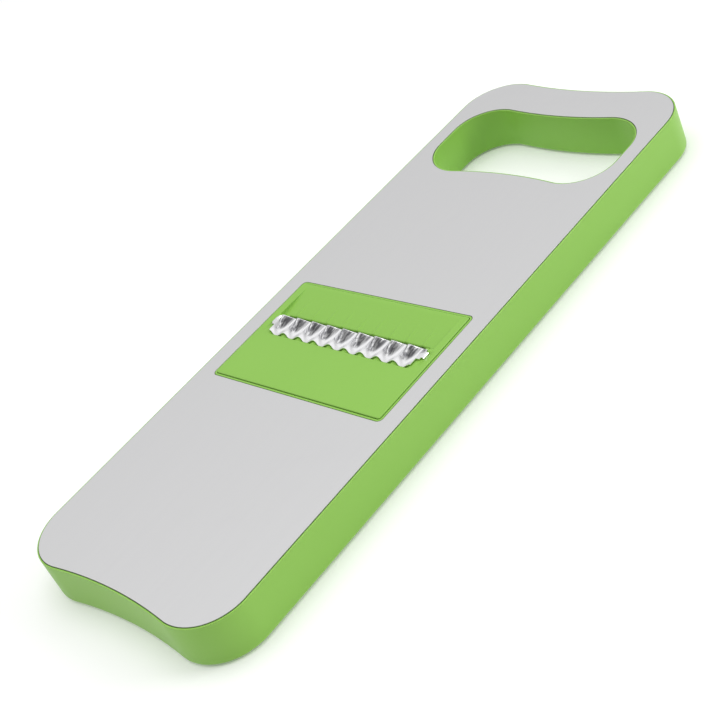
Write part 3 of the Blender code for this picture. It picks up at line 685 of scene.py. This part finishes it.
teeth_x = np.linspace(0.0, TEETH_HALF, TOOTH_COUNT * STEPS_PER_TOOTH // 2 + 1)
teeth_line = np.stack([teeth_x, np.full_like(teeth_x, BLADE_LEVEL)], axis=-1)
tab_line = np.array([[TEETH_HALF + SHOULDER, BLADE_LEVEL], [LEG_START, BLADE_LEVEL]])
leg_start = np.array([[LEG_START + SHOULDER, BLADE_LEVEL]])
upper_bend = quarter_turn(LEG_X - BEND_RADIUS, BLADE_LEVEL - BEND_RADIUS, math.pi / 2)
lower_bend = quarter_turn(LEG_X - BEND_RADIUS, FOLD_Z + BEND_RADIUS, 0.0)
fold_end = np.array([[LEG_X - BEND_RADIUS - FOLD_LENGTH, FOLD_Z]])
leg_line = np.vstack([leg_start, upper_bend, lower_bend, fold_end])
half_line = np.vstack([teeth_line, tab_line, leg_line])
section = np.repeat([0, 1, 2], [len(teeth_line), len(tab_line), len(leg_line)])
line = np.vstack([half_line[:0:-1] * [-1, 1], half_line])
section = np.concatenate([section[:0:-1], section])
front_share = np.array([0.0, 0.0, LEG_INSET / BLADE_DEPTH])[section]
rear_share = np.array([1.0, TAB_DEPTH / BLADE_DEPTH, (TAB_DEPTH - LEG_INSET) / BLADE_DEPTH])[section]
print("points along the strip:", len(line))

# %% [markdown]
# Both faces of the strip lie half a thickness off its middle surface, along that surface's normal. The
# normal is the cross product of the surface's two slopes. Each edge is rounded off by a shallow arc
# that swells outwards, so the arched front edge keeps the narrow bright line of a ground edge.


# %% The blade's surface
def middle_surface(v):
    """The strip's middle surface for v from 0, its front edge, to 1, its rear edge.

    In words: t is the share of the full depth, and each stretch of the strip covers its own range of t.
    hump is cos^2(pi x / pitch) in the teeth. z is the level, plus hump (rise (1 - t^fall) - dip t), and
    y is the front edge, minus depth t, minus hump (lean (1-t) + tongue t).
    """
    t = front_share[:, None] + (rear_share - front_share)[:, None] * v
    x = np.broadcast_to(line[:, :1], t.shape)
    hump = np.where(section[:, None] == 0, np.cos(np.pi * x / TOOTH_PITCH) ** 2, 0.0)
    z = line[:, 1:2] + hump * (TOOTH_RISE * (1 - t**TOOTH_FALL) - TOOTH_DIP * t)
    y = BLADE_Y - BLADE_DEPTH * t - hump * (TOOTH_LEAN * (1 - t) + TOOTH_TONGUE * t)
    return np.stack([x, y, z], axis=-1)


def unit(vectors):
    """The same directions with a length of one."""
    return vectors / np.linalg.norm(vectors, axis=-1, keepdims=True)


share = np.linspace(0.0, 1.0, 25)
surface = middle_surface(share)
along_strip = np.gradient(surface, axis=0)
to_rear = np.gradient(surface, axis=1)
normal = unit(np.cross(to_rear, along_strip))
outward = unit(to_rear)
half = BLADE_THICKNESS / 2
turn = np.linspace(0.0, math.pi, 9)[1:-1]
cap_n, cap_o = half * np.cos(turn)[:, None], half * EDGE_BULGE * np.sin(turn)[:, None]
rear_cap = surface[:, -1:] + cap_n * normal[:, -1:] + cap_o * outward[:, -1:]
front_cap = surface[:, :1] - cap_n * normal[:, :1] - cap_o * outward[:, :1]
upper, lower = surface + half * normal, surface - half * normal
strip = np.concatenate([upper, rear_cap, lower[:, ::-1], front_cap], axis=1)[::-1]
strip_mark = np.zeros(strip.shape[:2])
strip_mark[:, len(share) - 1 : len(share) + len(turn) + 1] = 1.0
strip_mark[:, -len(turn) - 1 :] = 1.0
strip_mark[:, 0] = 1.0
around = strip.shape[1]
ends = [list(range(around)), list(range((len(line) - 1) * around, len(line) * around))[::-1]]
blade = make_piece("toothed_blade", [(strip, strip_mark)], extra_faces=ends)
print("crest height:", round(float(strip[..., 2].max()), 2), "frame:", round(float(blade_high[2]), 2))
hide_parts("blade")
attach(blade, "insert")

# %% [markdown]
# ## Screws
#
# Six countersunk screws hold the ribbed core in the tub. Each head looks down and has a cross recess.
# The head's face is a polar grid: its height is a function of the place on the disc, deeper where the
# arms of the cross run. The rest is a profile turned about the screw's axis.

# %% Screws
RECESS_DEPTH = 0.9
RECESS_ARM = 1.75
RECESS_HALF = 0.42
RECESS_FADE = 0.25
HEAD_SHOW = 0.06
HEAD_MARGIN = 0.12
HEAD_EDGE = 0.02
SCREW_POINT = 1.5


def screw_face_height(x, y):
    """How deep the cross recess goes at (x, y) from the screw's axis.

    In words: on an arm the distance to the arm's middle line stays under RECESS_HALF, and the distance
    along it under RECESS_ARM. Both limits fade over RECESS_FADE.
    """
    arms = [
        rise(RECESS_HALF - np.abs(a), 0.0, RECESS_FADE) * rise(RECESS_ARM - np.abs(b), 0.0, RECESS_FADE)
        for a, b in ((x, y), (y, x))
    ]
    return RECESS_DEPTH * np.maximum(*arms)


def make_screw(name):
    """A countersunk screw in the place of a frame node, point up."""
    low, high = box_mm(name)
    centre = middle_mm(name)
    face_z = low[2] + HEAD_SHOW
    radii = np.linspace(0.0, SCREW_HEAD - HEAD_MARGIN, 22)
    turn = np.linspace(0.0, 2 * math.pi, 96, endpoint=False)
    x, y = radii[:, None] * np.cos(turn), radii[:, None] * np.sin(turn)
    disc = np.stack([x + centre[0], y + centre[1], face_z + screw_face_height(x, y)], axis=-1)
    cone_z = low[2] + SCREW_HEAD_HEIGHT / 3
    side = wall(
        round_outline(*centre, points=96),
        [
            (0, high[2], 0),
            (SCREW_SHANK, high[2] - SCREW_POINT, 0.1),
            (SCREW_SHANK, low[2] + SCREW_HEAD_HEIGHT, 0.1),
            (SCREW_HEAD, cone_z, 0.1),
            (SCREW_HEAD, face_z + HEAD_EDGE, SHARP),
            (SCREW_HEAD - HEAD_MARGIN, face_z, 0),
        ],
        3,
    )
    piece = make_piece(name + "_turned", [(disc[::-1], np.zeros(disc.shape[:2])), side])
    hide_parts(name)
    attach(piece, "slicer_body")
    return piece


screws = [make_screw(name) for name in screw_names]

# %% [markdown]
# ## Rubber feet
#
# The slicer stands on four small rubber buttons. Each is moulded with a stem and a wider head that is
# pulled through the floor. Its pad carries a shallow ring groove, which helps it to grip.

# %% Feet
FOOT_TIP = 1.3
FOOT_HEAD = FOOT_STEM + 1.0
FOOT_HEAD_HEIGHT = 0.6
FOOT_GROOVE = 0.25
GROOVE_OUTER, GROOVE_INNER = 2.9, 2.6


def make_foot(name):
    """A turned rubber foot in the place of a frame node: pad, stem and snap-in head."""
    low, high = box_mm(name)
    centre = middle_mm(name)
    pad_top = Z_UNDER + FOOT_POCKET - FIT_GAP
    head = Z_FLOOR + FIT_GAP
    profile = [
        (0, high[2], 0),
        (FOOT_TIP, high[2], 0.3),
        (FOOT_HEAD, head + FOOT_HEAD_HEIGHT, 0.2),
        (FOOT_HEAD, head, 0.2),
        (FOOT_STEM, head, 0.1),
        (FOOT_STEM, pad_top, 0.2),
        (FOOT_PAD, pad_top, 0.1),
        (FOOT_PAD, low[2], 0.3),
        (GROOVE_OUTER, low[2], 0.15),
        (GROOVE_INNER, low[2] + FOOT_GROOVE, 0.15),
        (0, low[2] + FOOT_GROOVE, 0),
    ]
    piece = make_piece(name + "_moulded", [wall(round_outline(*centre, points=64), profile)])
    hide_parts(name)
    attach(piece, "slicer_body")
    return piece


feet = [make_foot(name) for name in foot_names]

# %% [markdown]
# ## Finishes: the shared effects
#
# Four effects turn up in more than one finish, so each is a shader node group, built once: the fine
# sparked grain of a moulding, the long fine lines of rolled and brushed steel, the faint marks of
# handling, and a mask along an edge, used for its polish and for a painted highlight or a painted shade.
# A group only gives out heights and masks. The shader that uses them stays in each material, with its own
# constants on its own sockets.


# %% Helpers that add nodes
def put(tree, kind, inputs=None, **settings):
    """Adds a node. An input given as a socket is linked, and any other value is set on its socket."""
    made = tree.nodes.new(kind)
    for key, value in settings.items():
        setattr(made, key, value)
    for key, value in (inputs or {}).items():
        if isinstance(value, bpy.types.NodeSocket):
            tree.links.new(value, made.inputs[key])
        else:
            made.inputs[key].default_value = value
    return made


def noise(tree, place, scale, detail, **more):
    """A noise from 0 to 1. Its scale is the number of grains per metre."""
    inputs = {"Vector": place, "Scale": scale, "Detail": detail, **more}
    return put(tree, "ShaderNodeTexNoise", inputs).outputs["Fac"]


def ranged(tree, value, low, high, to_low=0.0, to_high=1.0, kind="LINEAR"):
    """A number that goes from to_low to to_high as the value goes from low to high."""
    inputs = {"Value": value, "From Min": low, "From Max": high, "To Min": to_low, "To Max": to_high}
    return put(tree, "ShaderNodeMapRange", inputs, interpolation_type=kind).outputs[0]


def worked_out(tree, operation, first, second, **settings):
    """The result of one operation on two numbers."""
    return put(tree, "ShaderNodeMath", {0: first, 1: second}, operation=operation, **settings).outputs[0]


def new_group(name, takes, gives):
    """An empty shader node group with float or vector inputs and float outputs."""
    group = bpy.data.node_groups.new(name, "ShaderNodeTree")
    for key, start in takes.items():
        kind = "NodeSocketVector" if key == "Place" else "NodeSocketFloat"
        socket = group.interface.new_socket(key, in_out="INPUT", socket_type=kind)
        if start is not None:
            socket.default_value = start
    for key in gives:
        group.interface.new_socket(key, in_out="OUTPUT", socket_type="NodeSocketFloat")
    return group, put(group, "NodeGroupInput").outputs, put(group, "NodeGroupOutput")


def give(group, output, **results):
    """Links the named results to the outputs of a group."""
    for key, socket in results.items():
        group.links.new(socket, output.inputs[key])


# %% [markdown]
# Moulded plastic takes the texture of its tool. Spark erosion leaves a fine, even, rounded grain, and
# the melt leaves a very soft unevenness across the wall. Two noises of very different size give both.

# %% Moulding grain
takes = {"Place": None, "Grains per metre": 2600.0}
moulding_grain, at, out = new_group("moulding_grain", takes, ["Height", "Cloud"])
fine = noise(moulding_grain, at["Place"], at["Grains per metre"], 3.0)
soft = noise(moulding_grain, at["Place"], 22.0, 2.0)
give(moulding_grain, out, Height=fine, Cloud=soft)
print("group:", moulding_grain.name)

# %% [markdown]
# Rolled steel has lines along the direction in which it went through the rolls. A noise that is squeezed
# across the lines and stretched along them looks like that. Turning the place first would turn the
# lines, so a material can choose their direction with its own Mapping node.

# %% Drawn lines
takes = {"Place": None, "Lines per metre": 5200.0}
drawn_lines, at, out = new_group("drawn_lines", takes, ["Height", "Band"])
stretch = {"Vector": at["Place"], "Scale": (1.0, 0.012, 1.0)}
squeezed = put(drawn_lines, "ShaderNodeMapping", stretch).outputs[0]
lines_fine = noise(drawn_lines, squeezed, at["Lines per metre"], 4.0)
lines_broad = noise(drawn_lines, squeezed, 260.0, 2.0)
give(drawn_lines, out, Height=lines_fine, Band=lines_broad)
print("group:", drawn_lines.name)

# %% [markdown]
# Hands leave faint smears, a few fine scratches and a little dust. Smears are a soft noise with most of
# it cut away. Specks are the middles of scattered cells, kept only where a cell's random number is high.

# %% Handling marks
takes = {"Place": None, "Specks per metre": 420.0}
handling, at, out = new_group("handling_marks", takes, ["Smear", "Speck"])
smear_noise = noise(handling, at["Place"], 34.0, 5.0, Distortion=1.2)
smear = ranged(handling, smear_noise, 0.52, 0.78, kind="SMOOTHSTEP")
scatter = {"Vector": at["Place"], "Scale": at["Specks per metre"]}
cells = put(handling, "ShaderNodeTexVoronoi", scatter).outputs
middle_of_cell = ranged(handling, cells["Distance"], 0.09, 0.03)
chosen = put(handling, "ShaderNodeSeparateColor", {"Color": cells["Color"]}).outputs[0]
few = worked_out(handling, "GREATER_THAN", chosen, 0.93)
speck = worked_out(handling, "MULTIPLY", middle_of_cell, few)
give(handling, out, Smear=smear, Speck=speck)
print("group:", handling.name)

# %% [markdown]
# Each piece carries its edge marks from the moment its profile was eased. Broken up with a noise, they
# give the edge its polish: a moulded edge is rubbed smoother. The same mask paints edges paler or darker
# than the face: a painted highlight or a painted shade.

# %% Edge polish and painted edge light
# The mask from this group drives edge polish and also paints edge highlights and edge shade in the
# finishes.
edge_polish_and_painted_light, at, out = new_group("edge_polish_and_painted_light", {"Place": None, "Strength": 1.0}, ["Mask"])
edge_mark = put(edge_polish_and_painted_light, "ShaderNodeAttribute", attribute_name="edge").outputs["Fac"]
uneven = ranged(edge_polish_and_painted_light, noise(edge_polish_and_painted_light, at["Place"], 300.0, 3.0), 0.2, 0.6, 0.55, 1.0)
edge_share = worked_out(edge_polish_and_painted_light, "MULTIPLY", edge_mark, uneven)
edge_strength = worked_out(edge_polish_and_painted_light, "MULTIPLY", edge_share, at["Strength"], use_clamp=True)
give(edge_polish_and_painted_light, out, Mask=edge_strength)
print("group:", edge_polish_and_painted_light.name)

# %% [markdown]
# ## Finishes: the materials
#
# Every material is a Principled shader with its constants set on its sockets, and Object coordinates,
# so the pattern has the same size on every piece. A small helper places a group and blends two numbers
# or two colours by a mask.


# %% Helpers for the materials
def new_finish(name, **constants):
    """A material with its tree and the place on the piece in metres. Constants go on the shader."""
    finish = bpy.data.materials.new(name)
    finish.use_nodes = True
    tree = finish.node_tree
    for key, value in constants.items():
        tree.nodes["Principled BSDF"].inputs[key.replace("_", " ")].default_value = value
    place = put(tree, "ShaderNodeTexCoord").outputs["Object"]
    return finish, tree, place


def use_group(tree, group, place, **values):
    """Adds a node group at a place, sets its values, and gives its outputs."""
    made = put(tree, "ShaderNodeGroup", node_tree=group)
    tree.links.new(place, made.inputs["Place"])
    for key, value in values.items():
        made.inputs[key.replace("_", " ")].default_value = value
    return made.outputs


def between(tree, mask, low, high):
    """A number that goes from low to high as the mask goes from 0 to 1."""
    return ranged(tree, mask, 0.0, 1.0, low, high)


def blend_colour(tree, mask, first, second):
    """A colour that goes from the first to the second as the mask goes from 0 to 1."""
    mix = put(tree, "ShaderNodeMix", {"Factor": mask}, data_type="RGBA")
    for socket, colour in ((mix.inputs[6], first), (mix.inputs[7], second)):
        if isinstance(colour, bpy.types.NodeSocket):
            tree.links.new(colour, socket)
        else:
            socket.default_value = (*colour, 1.0)
    return mix.outputs[2]


def add_up(tree, *parts):
    """The sum of several numbers."""
    total = parts[0]
    for part in parts[1:]:
        total = worked_out(tree, "ADD", total, part)
    return total


def bumped(tree, height, depth, strength=1.0):
    """A normal from a height map whose full range is depth metres."""
    inputs = {"Height": height, "Distance": depth, "Strength": strength}
    return put(tree, "ShaderNodeBump", inputs).outputs[0]


def wire(tree, **results):
    """Links the named results to the inputs of the tree's shader."""
    for key, socket in results.items():
        tree.links.new(socket, tree.nodes["Principled BSDF"].inputs[key.replace("_", " ")])


# %% [markdown]
# ** Green plastic.** The body and the insert are the same lime green polypropylene. It is satin: a soft
# highlight, with a fine grain that only shows close up. Its colour drifts by a few hundredths, and its
# eased edges are painted a paler green, a painted highlight, and are a little smoother.

# %% Green plastic
GREEN = (0.266, 0.532, 0.082)
GREEN_DEEP = (0.250, 0.512, 0.074)
# The next colour is a painted highlight: the paler green painted on eased edges.
GREEN_EDGE_PAINTED_HIGHLIGHT = (0.345, 0.630, 0.130)
green, tree, place = new_finish("green_plastic_finish", IOR=1.49, Specular_IOR_Level=0.4)
grain = use_group(tree, moulding_grain, place)
marks = use_group(tree, handling, place)
edge = use_group(tree, edge_polish_and_painted_light, place, Strength=0.55)
drifting = blend_colour(tree, grain["Cloud"], GREEN_DEEP, GREEN)
wire(
    tree,
    # painted highlight: the edge mask paints eased edges a paler green
    Base_Color=blend_colour(tree, edge["Mask"], drifting, GREEN_EDGE_PAINTED_HIGHLIGHT),
    Roughness=add_up(
        tree,
        between(tree, grain["Height"], 0.38, 0.48),
        between(tree, marks["Smear"], 0.0, -0.05),
        between(tree, edge["Mask"], 0.0, -0.08),
    ),
    Normal=bumped(tree, grain["Height"], 0.00002, 0.5),
)
print("finish:", green.name)

# %% [markdown]
# ** Satin steel.** The plate is rolled and lightly brushed along its length, so it reflects the room as
# a soft pale grey. The lines are only micrometres deep: they work mostly through the roughness. Its
# sheared edge is duller than its face, and is painted a dark olive: painted shade of the gap beside the
# green lip, so the sheet is drawn round with a fine dark line.

# %% Satin steel
sheet_finish, tree, place = new_finish("satin_steel_finish", Metallic=1.0)
lines = use_group(tree, drawn_lines, place)
marks = use_group(tree, handling, place)
edge = use_group(tree, edge_polish_and_painted_light, place, Strength=0.9)
face_colour = blend_colour(tree, lines["Height"], (0.755, 0.755, 0.762), (0.795, 0.795, 0.800))
wire(
    tree,
    # painted shade: the edge mask paints the steel's eased edge dark olive, for the shadowed gap by the lip
    Base_Color=blend_colour(tree, edge["Mask"], face_colour, (0.26, 0.28, 0.24)),
    Roughness=add_up(
        tree,
        between(tree, lines["Band"], 0.33, 0.41),
        between(tree, lines["Height"], -0.03, 0.03),
        between(tree, marks["Smear"], 0.0, 0.03),
        between(tree, edge["Mask"], 0.0, 0.12),
    ),
    Normal=bumped(tree, lines["Height"], 0.000004, 0.35),
)
print("finish:", sheet_finish.name)

# %% [markdown]
# ** Polished steel.** The blade is bright, with fine draw marks that run from its front edge to its rear
# edge, where the press dragged the metal. Higher up on the raised teeth, coarse grey and dark streaks are
# painted into the colour: a painted reflection of the darker room. Its ground edges are painted brightest,
# a painted highlight. The bends of the teeth do the rest: each one mirrors another part of the room.

# %% Polished steel
blade_finish, tree, place = new_finish("polished_steel_finish", Metallic=1.0)
lines = use_group(tree, drawn_lines, place, Lines_per_metre=7500.0)
reflection_streaks = use_group(tree, drawn_lines, place, Lines_per_metre=1500.0)
edge = use_group(tree, edge_polish_and_painted_light, place, Strength=1.0)
level = put(tree, "ShaderNodeSeparateXYZ", {"Vector": place}).outputs["Z"]
# painted reflection: the colour blend below is keyed to height, so the raised teeth get grey streaks
raised_teeth_mask = ranged(tree, level, (BLADE_LEVEL + 0.35) * MM, (BLADE_LEVEL + 0.9) * MM)
flat_colour = blend_colour(tree, lines["Height"], (0.84, 0.84, 0.86), (0.96, 0.96, 0.97))
streak_mask = ranged(tree, reflection_streaks["Height"], 0.42, 0.60)
# painted reflection: these dark and pale streaks stand in for the room mirrored in the teeth
painted_reflection_colour = blend_colour(tree, streak_mask, (0.30, 0.30, 0.32), (0.94, 0.94, 0.95))
lines_and_painted_reflection = blend_colour(tree, raised_teeth_mask, flat_colour, painted_reflection_colour)
wire(
    tree,
    # painted highlight: the edge mask paints the blade's edges near white
    Base_Color=blend_colour(tree, edge["Mask"], lines_and_painted_reflection, (0.97, 0.97, 0.97)),
    Roughness=add_up(
        tree,
        between(tree, lines["Height"], 0.10, 0.24),
        between(tree, raised_teeth_mask, 0.0, 0.06),
        between(tree, edge["Mask"], 0.0, 0.08),
    ),
    Normal=bumped(tree, lines["Height"], 0.000008, 0.5),
)
print("finish:", blade_finish.name)

# %% [markdown]
# **Screw steel** is the same metal after tumbling: no direction, only a fine even dullness. **Rubber** is
# dark, matt and slightly dusty. The **pale core** and the **adhesive film** lie inside, and get the same
# moulding grain in their own colours.

# %% Screw steel, rubber, core and film
screw_finish, tree, place = new_finish("screw_steel_finish", Metallic=1.0)
grain = use_group(tree, moulding_grain, place, Grains_per_metre=4000.0)
edge = use_group(tree, edge_polish_and_painted_light, place)
dull = blend_colour(tree, grain["Height"], (0.56, 0.56, 0.57), (0.68, 0.68, 0.69))
wire(
    tree,
    # painted highlight: the edge mask paints the screw's eased edges paler
    Base_Color=blend_colour(tree, edge["Mask"], dull, (0.82, 0.82, 0.82)),
    Roughness=between(tree, grain["Height"], 0.26, 0.42),
    Normal=bumped(tree, grain["Height"], 0.00001, 0.4),
)

rubber_finish, tree, place = new_finish("foot_rubber_finish", Specular_IOR_Level=0.35)
grain = use_group(tree, moulding_grain, place, Grains_per_metre=3200.0)
marks = use_group(tree, handling, place, Specks_per_metre=1500.0)
rubber_colour = blend_colour(tree, grain["Height"], (0.060, 0.064, 0.062), (0.090, 0.094, 0.090))
wire(
    tree,
    Base_Color=blend_colour(tree, marks["Speck"], rubber_colour, (0.30, 0.30, 0.28)),
    Roughness=between(tree, grain["Height"], 0.74, 0.90),
    Normal=bumped(tree, grain["Height"], 0.00005, 0.6),
)


def grained_finish(name, dark, light, roughness):
    """A plain moulded or cast material with only the moulding grain on it."""
    finish, tree, place = new_finish(name)
    grain = use_group(tree, moulding_grain, place)
    wire(
        tree,
        Base_Color=blend_colour(tree, grain["Cloud"], dark, light),
        Roughness=between(tree, grain["Height"], roughness - 0.05, roughness + 0.05),
        Normal=bumped(tree, grain["Height"], 0.00002, 0.5),
    )
    return finish


core_finish = grained_finish("core_plastic_finish", (0.68, 0.70, 0.66), (0.75, 0.77, 0.73), 0.55)
film_finish = grained_finish("bond_film_finish", (0.76, 0.76, 0.72), (0.83, 0.83, 0.79), 0.62)
print("finishes:", screw_finish.name, rubber_finish.name, core_finish.name, film_finish.name)


# %% Dress every piece
def dress(finish, *pieces):
    """Gives each piece one finish and no other."""
    for piece in pieces:
        piece.data.materials.clear()
        piece.data.materials.append(finish)


dress(green, body, insert)
dress(sheet_finish, steel)
dress(blade_finish, blade)
dress(screw_finish, *screws)
dress(rubber_finish, *feet)
for node, finish in (("support_core", core_finish), ("plate_bond_film", film_finish)):
    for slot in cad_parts[node].material_slots:
        slot.material = finish
print("dressed:", 4 + len(screws) + len(feet), "pieces and 2 frame nodes")

# %% [markdown]
# ## Floor, light and camera
#
# A product like this is shown in a white light tent: light comes softly from everywhere, more from above
# than from the sides, and least from the mouth of the tent, where the camera looks in. Polished steel
# needs that dark mouth: without it every facet of the teeth mirrors the same white. The lamp overhead
# only lights. It leaves no mirror image, so the steel shows the tent and not the lamp. The floor is a
# pale board that glows a little, so that it stays white round the slicer. Seen from its own underside
# it is clear, as a glass table would be, so the slicer's floor, screws and feet can be looked at too.

# %% Floor and lights
FLOOR_HALF = 12.0
floor_corners = [(x * FLOOR_HALF, y * FLOOR_HALF, 0.0) for x, y in ((-1, -1), (1, -1), (1, 1), (-1, 1))]
floor_mesh = bpy.data.meshes.new("floor")
floor_mesh.from_pydata(floor_corners, [], [(0, 1, 2, 3)])
floor = bpy.data.objects.new("floor", floor_mesh)
bpy.context.scene.collection.objects.link(floor)
floor_finish, tree, place = new_finish("floor_finish", Roughness=0.9, Emission_Strength=0.12)
tree.nodes["Principled BSDF"].inputs["Emission Color"].default_value = (1.0, 1.0, 1.0, 1.0)
speckle = noise(tree, place, 3.0, 2.0)
from_below = put(tree, "ShaderNodeNewGeometry").outputs["Backfacing"]
wire(
    tree,
    Base_Color=blend_colour(tree, speckle, (0.93, 0.93, 0.93), (0.95, 0.95, 0.95)),
    Alpha=between(tree, from_below, 1.0, 0.0),
)
dress(floor_finish, floor)

world = bpy.data.worlds.new("light_tent")
bpy.context.scene.world = world
world.use_nodes = True
tent = world.node_tree
WORLD_STRENGTH = 1.0
TENT_MOUTH = (0.687, -0.454, 0.567)
direction = put(tent, "ShaderNodeTexCoord").outputs["Generated"]
height = put(tent, "ShaderNodeSeparateXYZ", {"Vector": direction}).outputs["Z"]
wall_light = ranged(tent, height, 0.3, 0.75, 0.58, 1.0)
facing = put(tent, "ShaderNodeVectorMath", {0: direction, 1: TENT_MOUTH}, operation="DOT_PRODUCT")
mouth_light = ranged(tent, facing.outputs["Value"], 0.28, 0.9, 1.0, 0.22, kind="SMOOTHSTEP")
tent_light = worked_out(tent, "MULTIPLY", wall_light, mouth_light)
tent_strength = worked_out(tent, "MULTIPLY", tent_light, WORLD_STRENGTH)
tent.links.new(tent_strength, tent.nodes["Background"].inputs["Strength"])
tent.nodes["Background"].inputs["Color"].default_value = (1.0, 1.0, 1.0, 1.0)


def soft_lamp(name, place, target, size, power):
    """A square area lamp at a place, turned towards a target."""
    data = bpy.data.lights.new(name, "AREA")
    data.shape = "SQUARE"
    data.size = size
    data.energy = power
    lamp = bpy.data.objects.new(name, data)
    bpy.context.scene.collection.objects.link(lamp)
    lamp.location = place
    lamp.rotation_euler = (Vector(target) - Vector(place)).to_track_quat("-Z", "Y").to_euler()
    return lamp


overhead_lamp = soft_lamp("overhead_lamp", (0.15, -0.15, 1.6), (0.0, 0.0, 0.0), 1.8, 13.0)
overhead_lamp.visible_glossy = False
soft_lamp("far_side_lamp", (1.1, 0.9, 0.6), (0.05, 0.15, 0.0), 0.7, 8.5)
print("world strength:", WORLD_STRENGTH)

# %% [markdown]
# The camera looks down on the slicer from its right near corner, rolled so that the slicer runs up the
# picture from lower left to upper right. A new camera looks straight down: it is rolled about its view,
# then tilted up, then turned about the vertical. Its distance sets how strongly the far end shrinks.

# %% Camera
CAMERA_PLACE = Vector((0.37478, -0.26452, 0.31705))
CAMERA_AZIMUTH = math.radians(56.50)
CAMERA_ELEVATION = math.radians(34.58)
CAMERA_ROLL = math.radians(26.41)
CAMERA_LENS = 71.32
rolled = Matrix.Rotation(-CAMERA_ROLL, 4, "Z")
tilted = Matrix.Rotation(math.pi / 2 - CAMERA_ELEVATION, 4, "X")
turned = Matrix.Rotation(CAMERA_AZIMUTH, 4, "Z")
camera_data = bpy.data.cameras.new("camera")
camera_data.lens = CAMERA_LENS
camera = bpy.data.objects.new("camera", camera_data)
bpy.context.scene.collection.objects.link(camera)
camera.matrix_world = Matrix.Translation(CAMERA_PLACE) @ turned @ tilted @ rolled
bpy.context.scene.camera = camera
bpy.context.scene.view_settings.view_transform = "Standard"
print("camera looks from:", [round(value, 3) for value in CAMERA_PLACE])
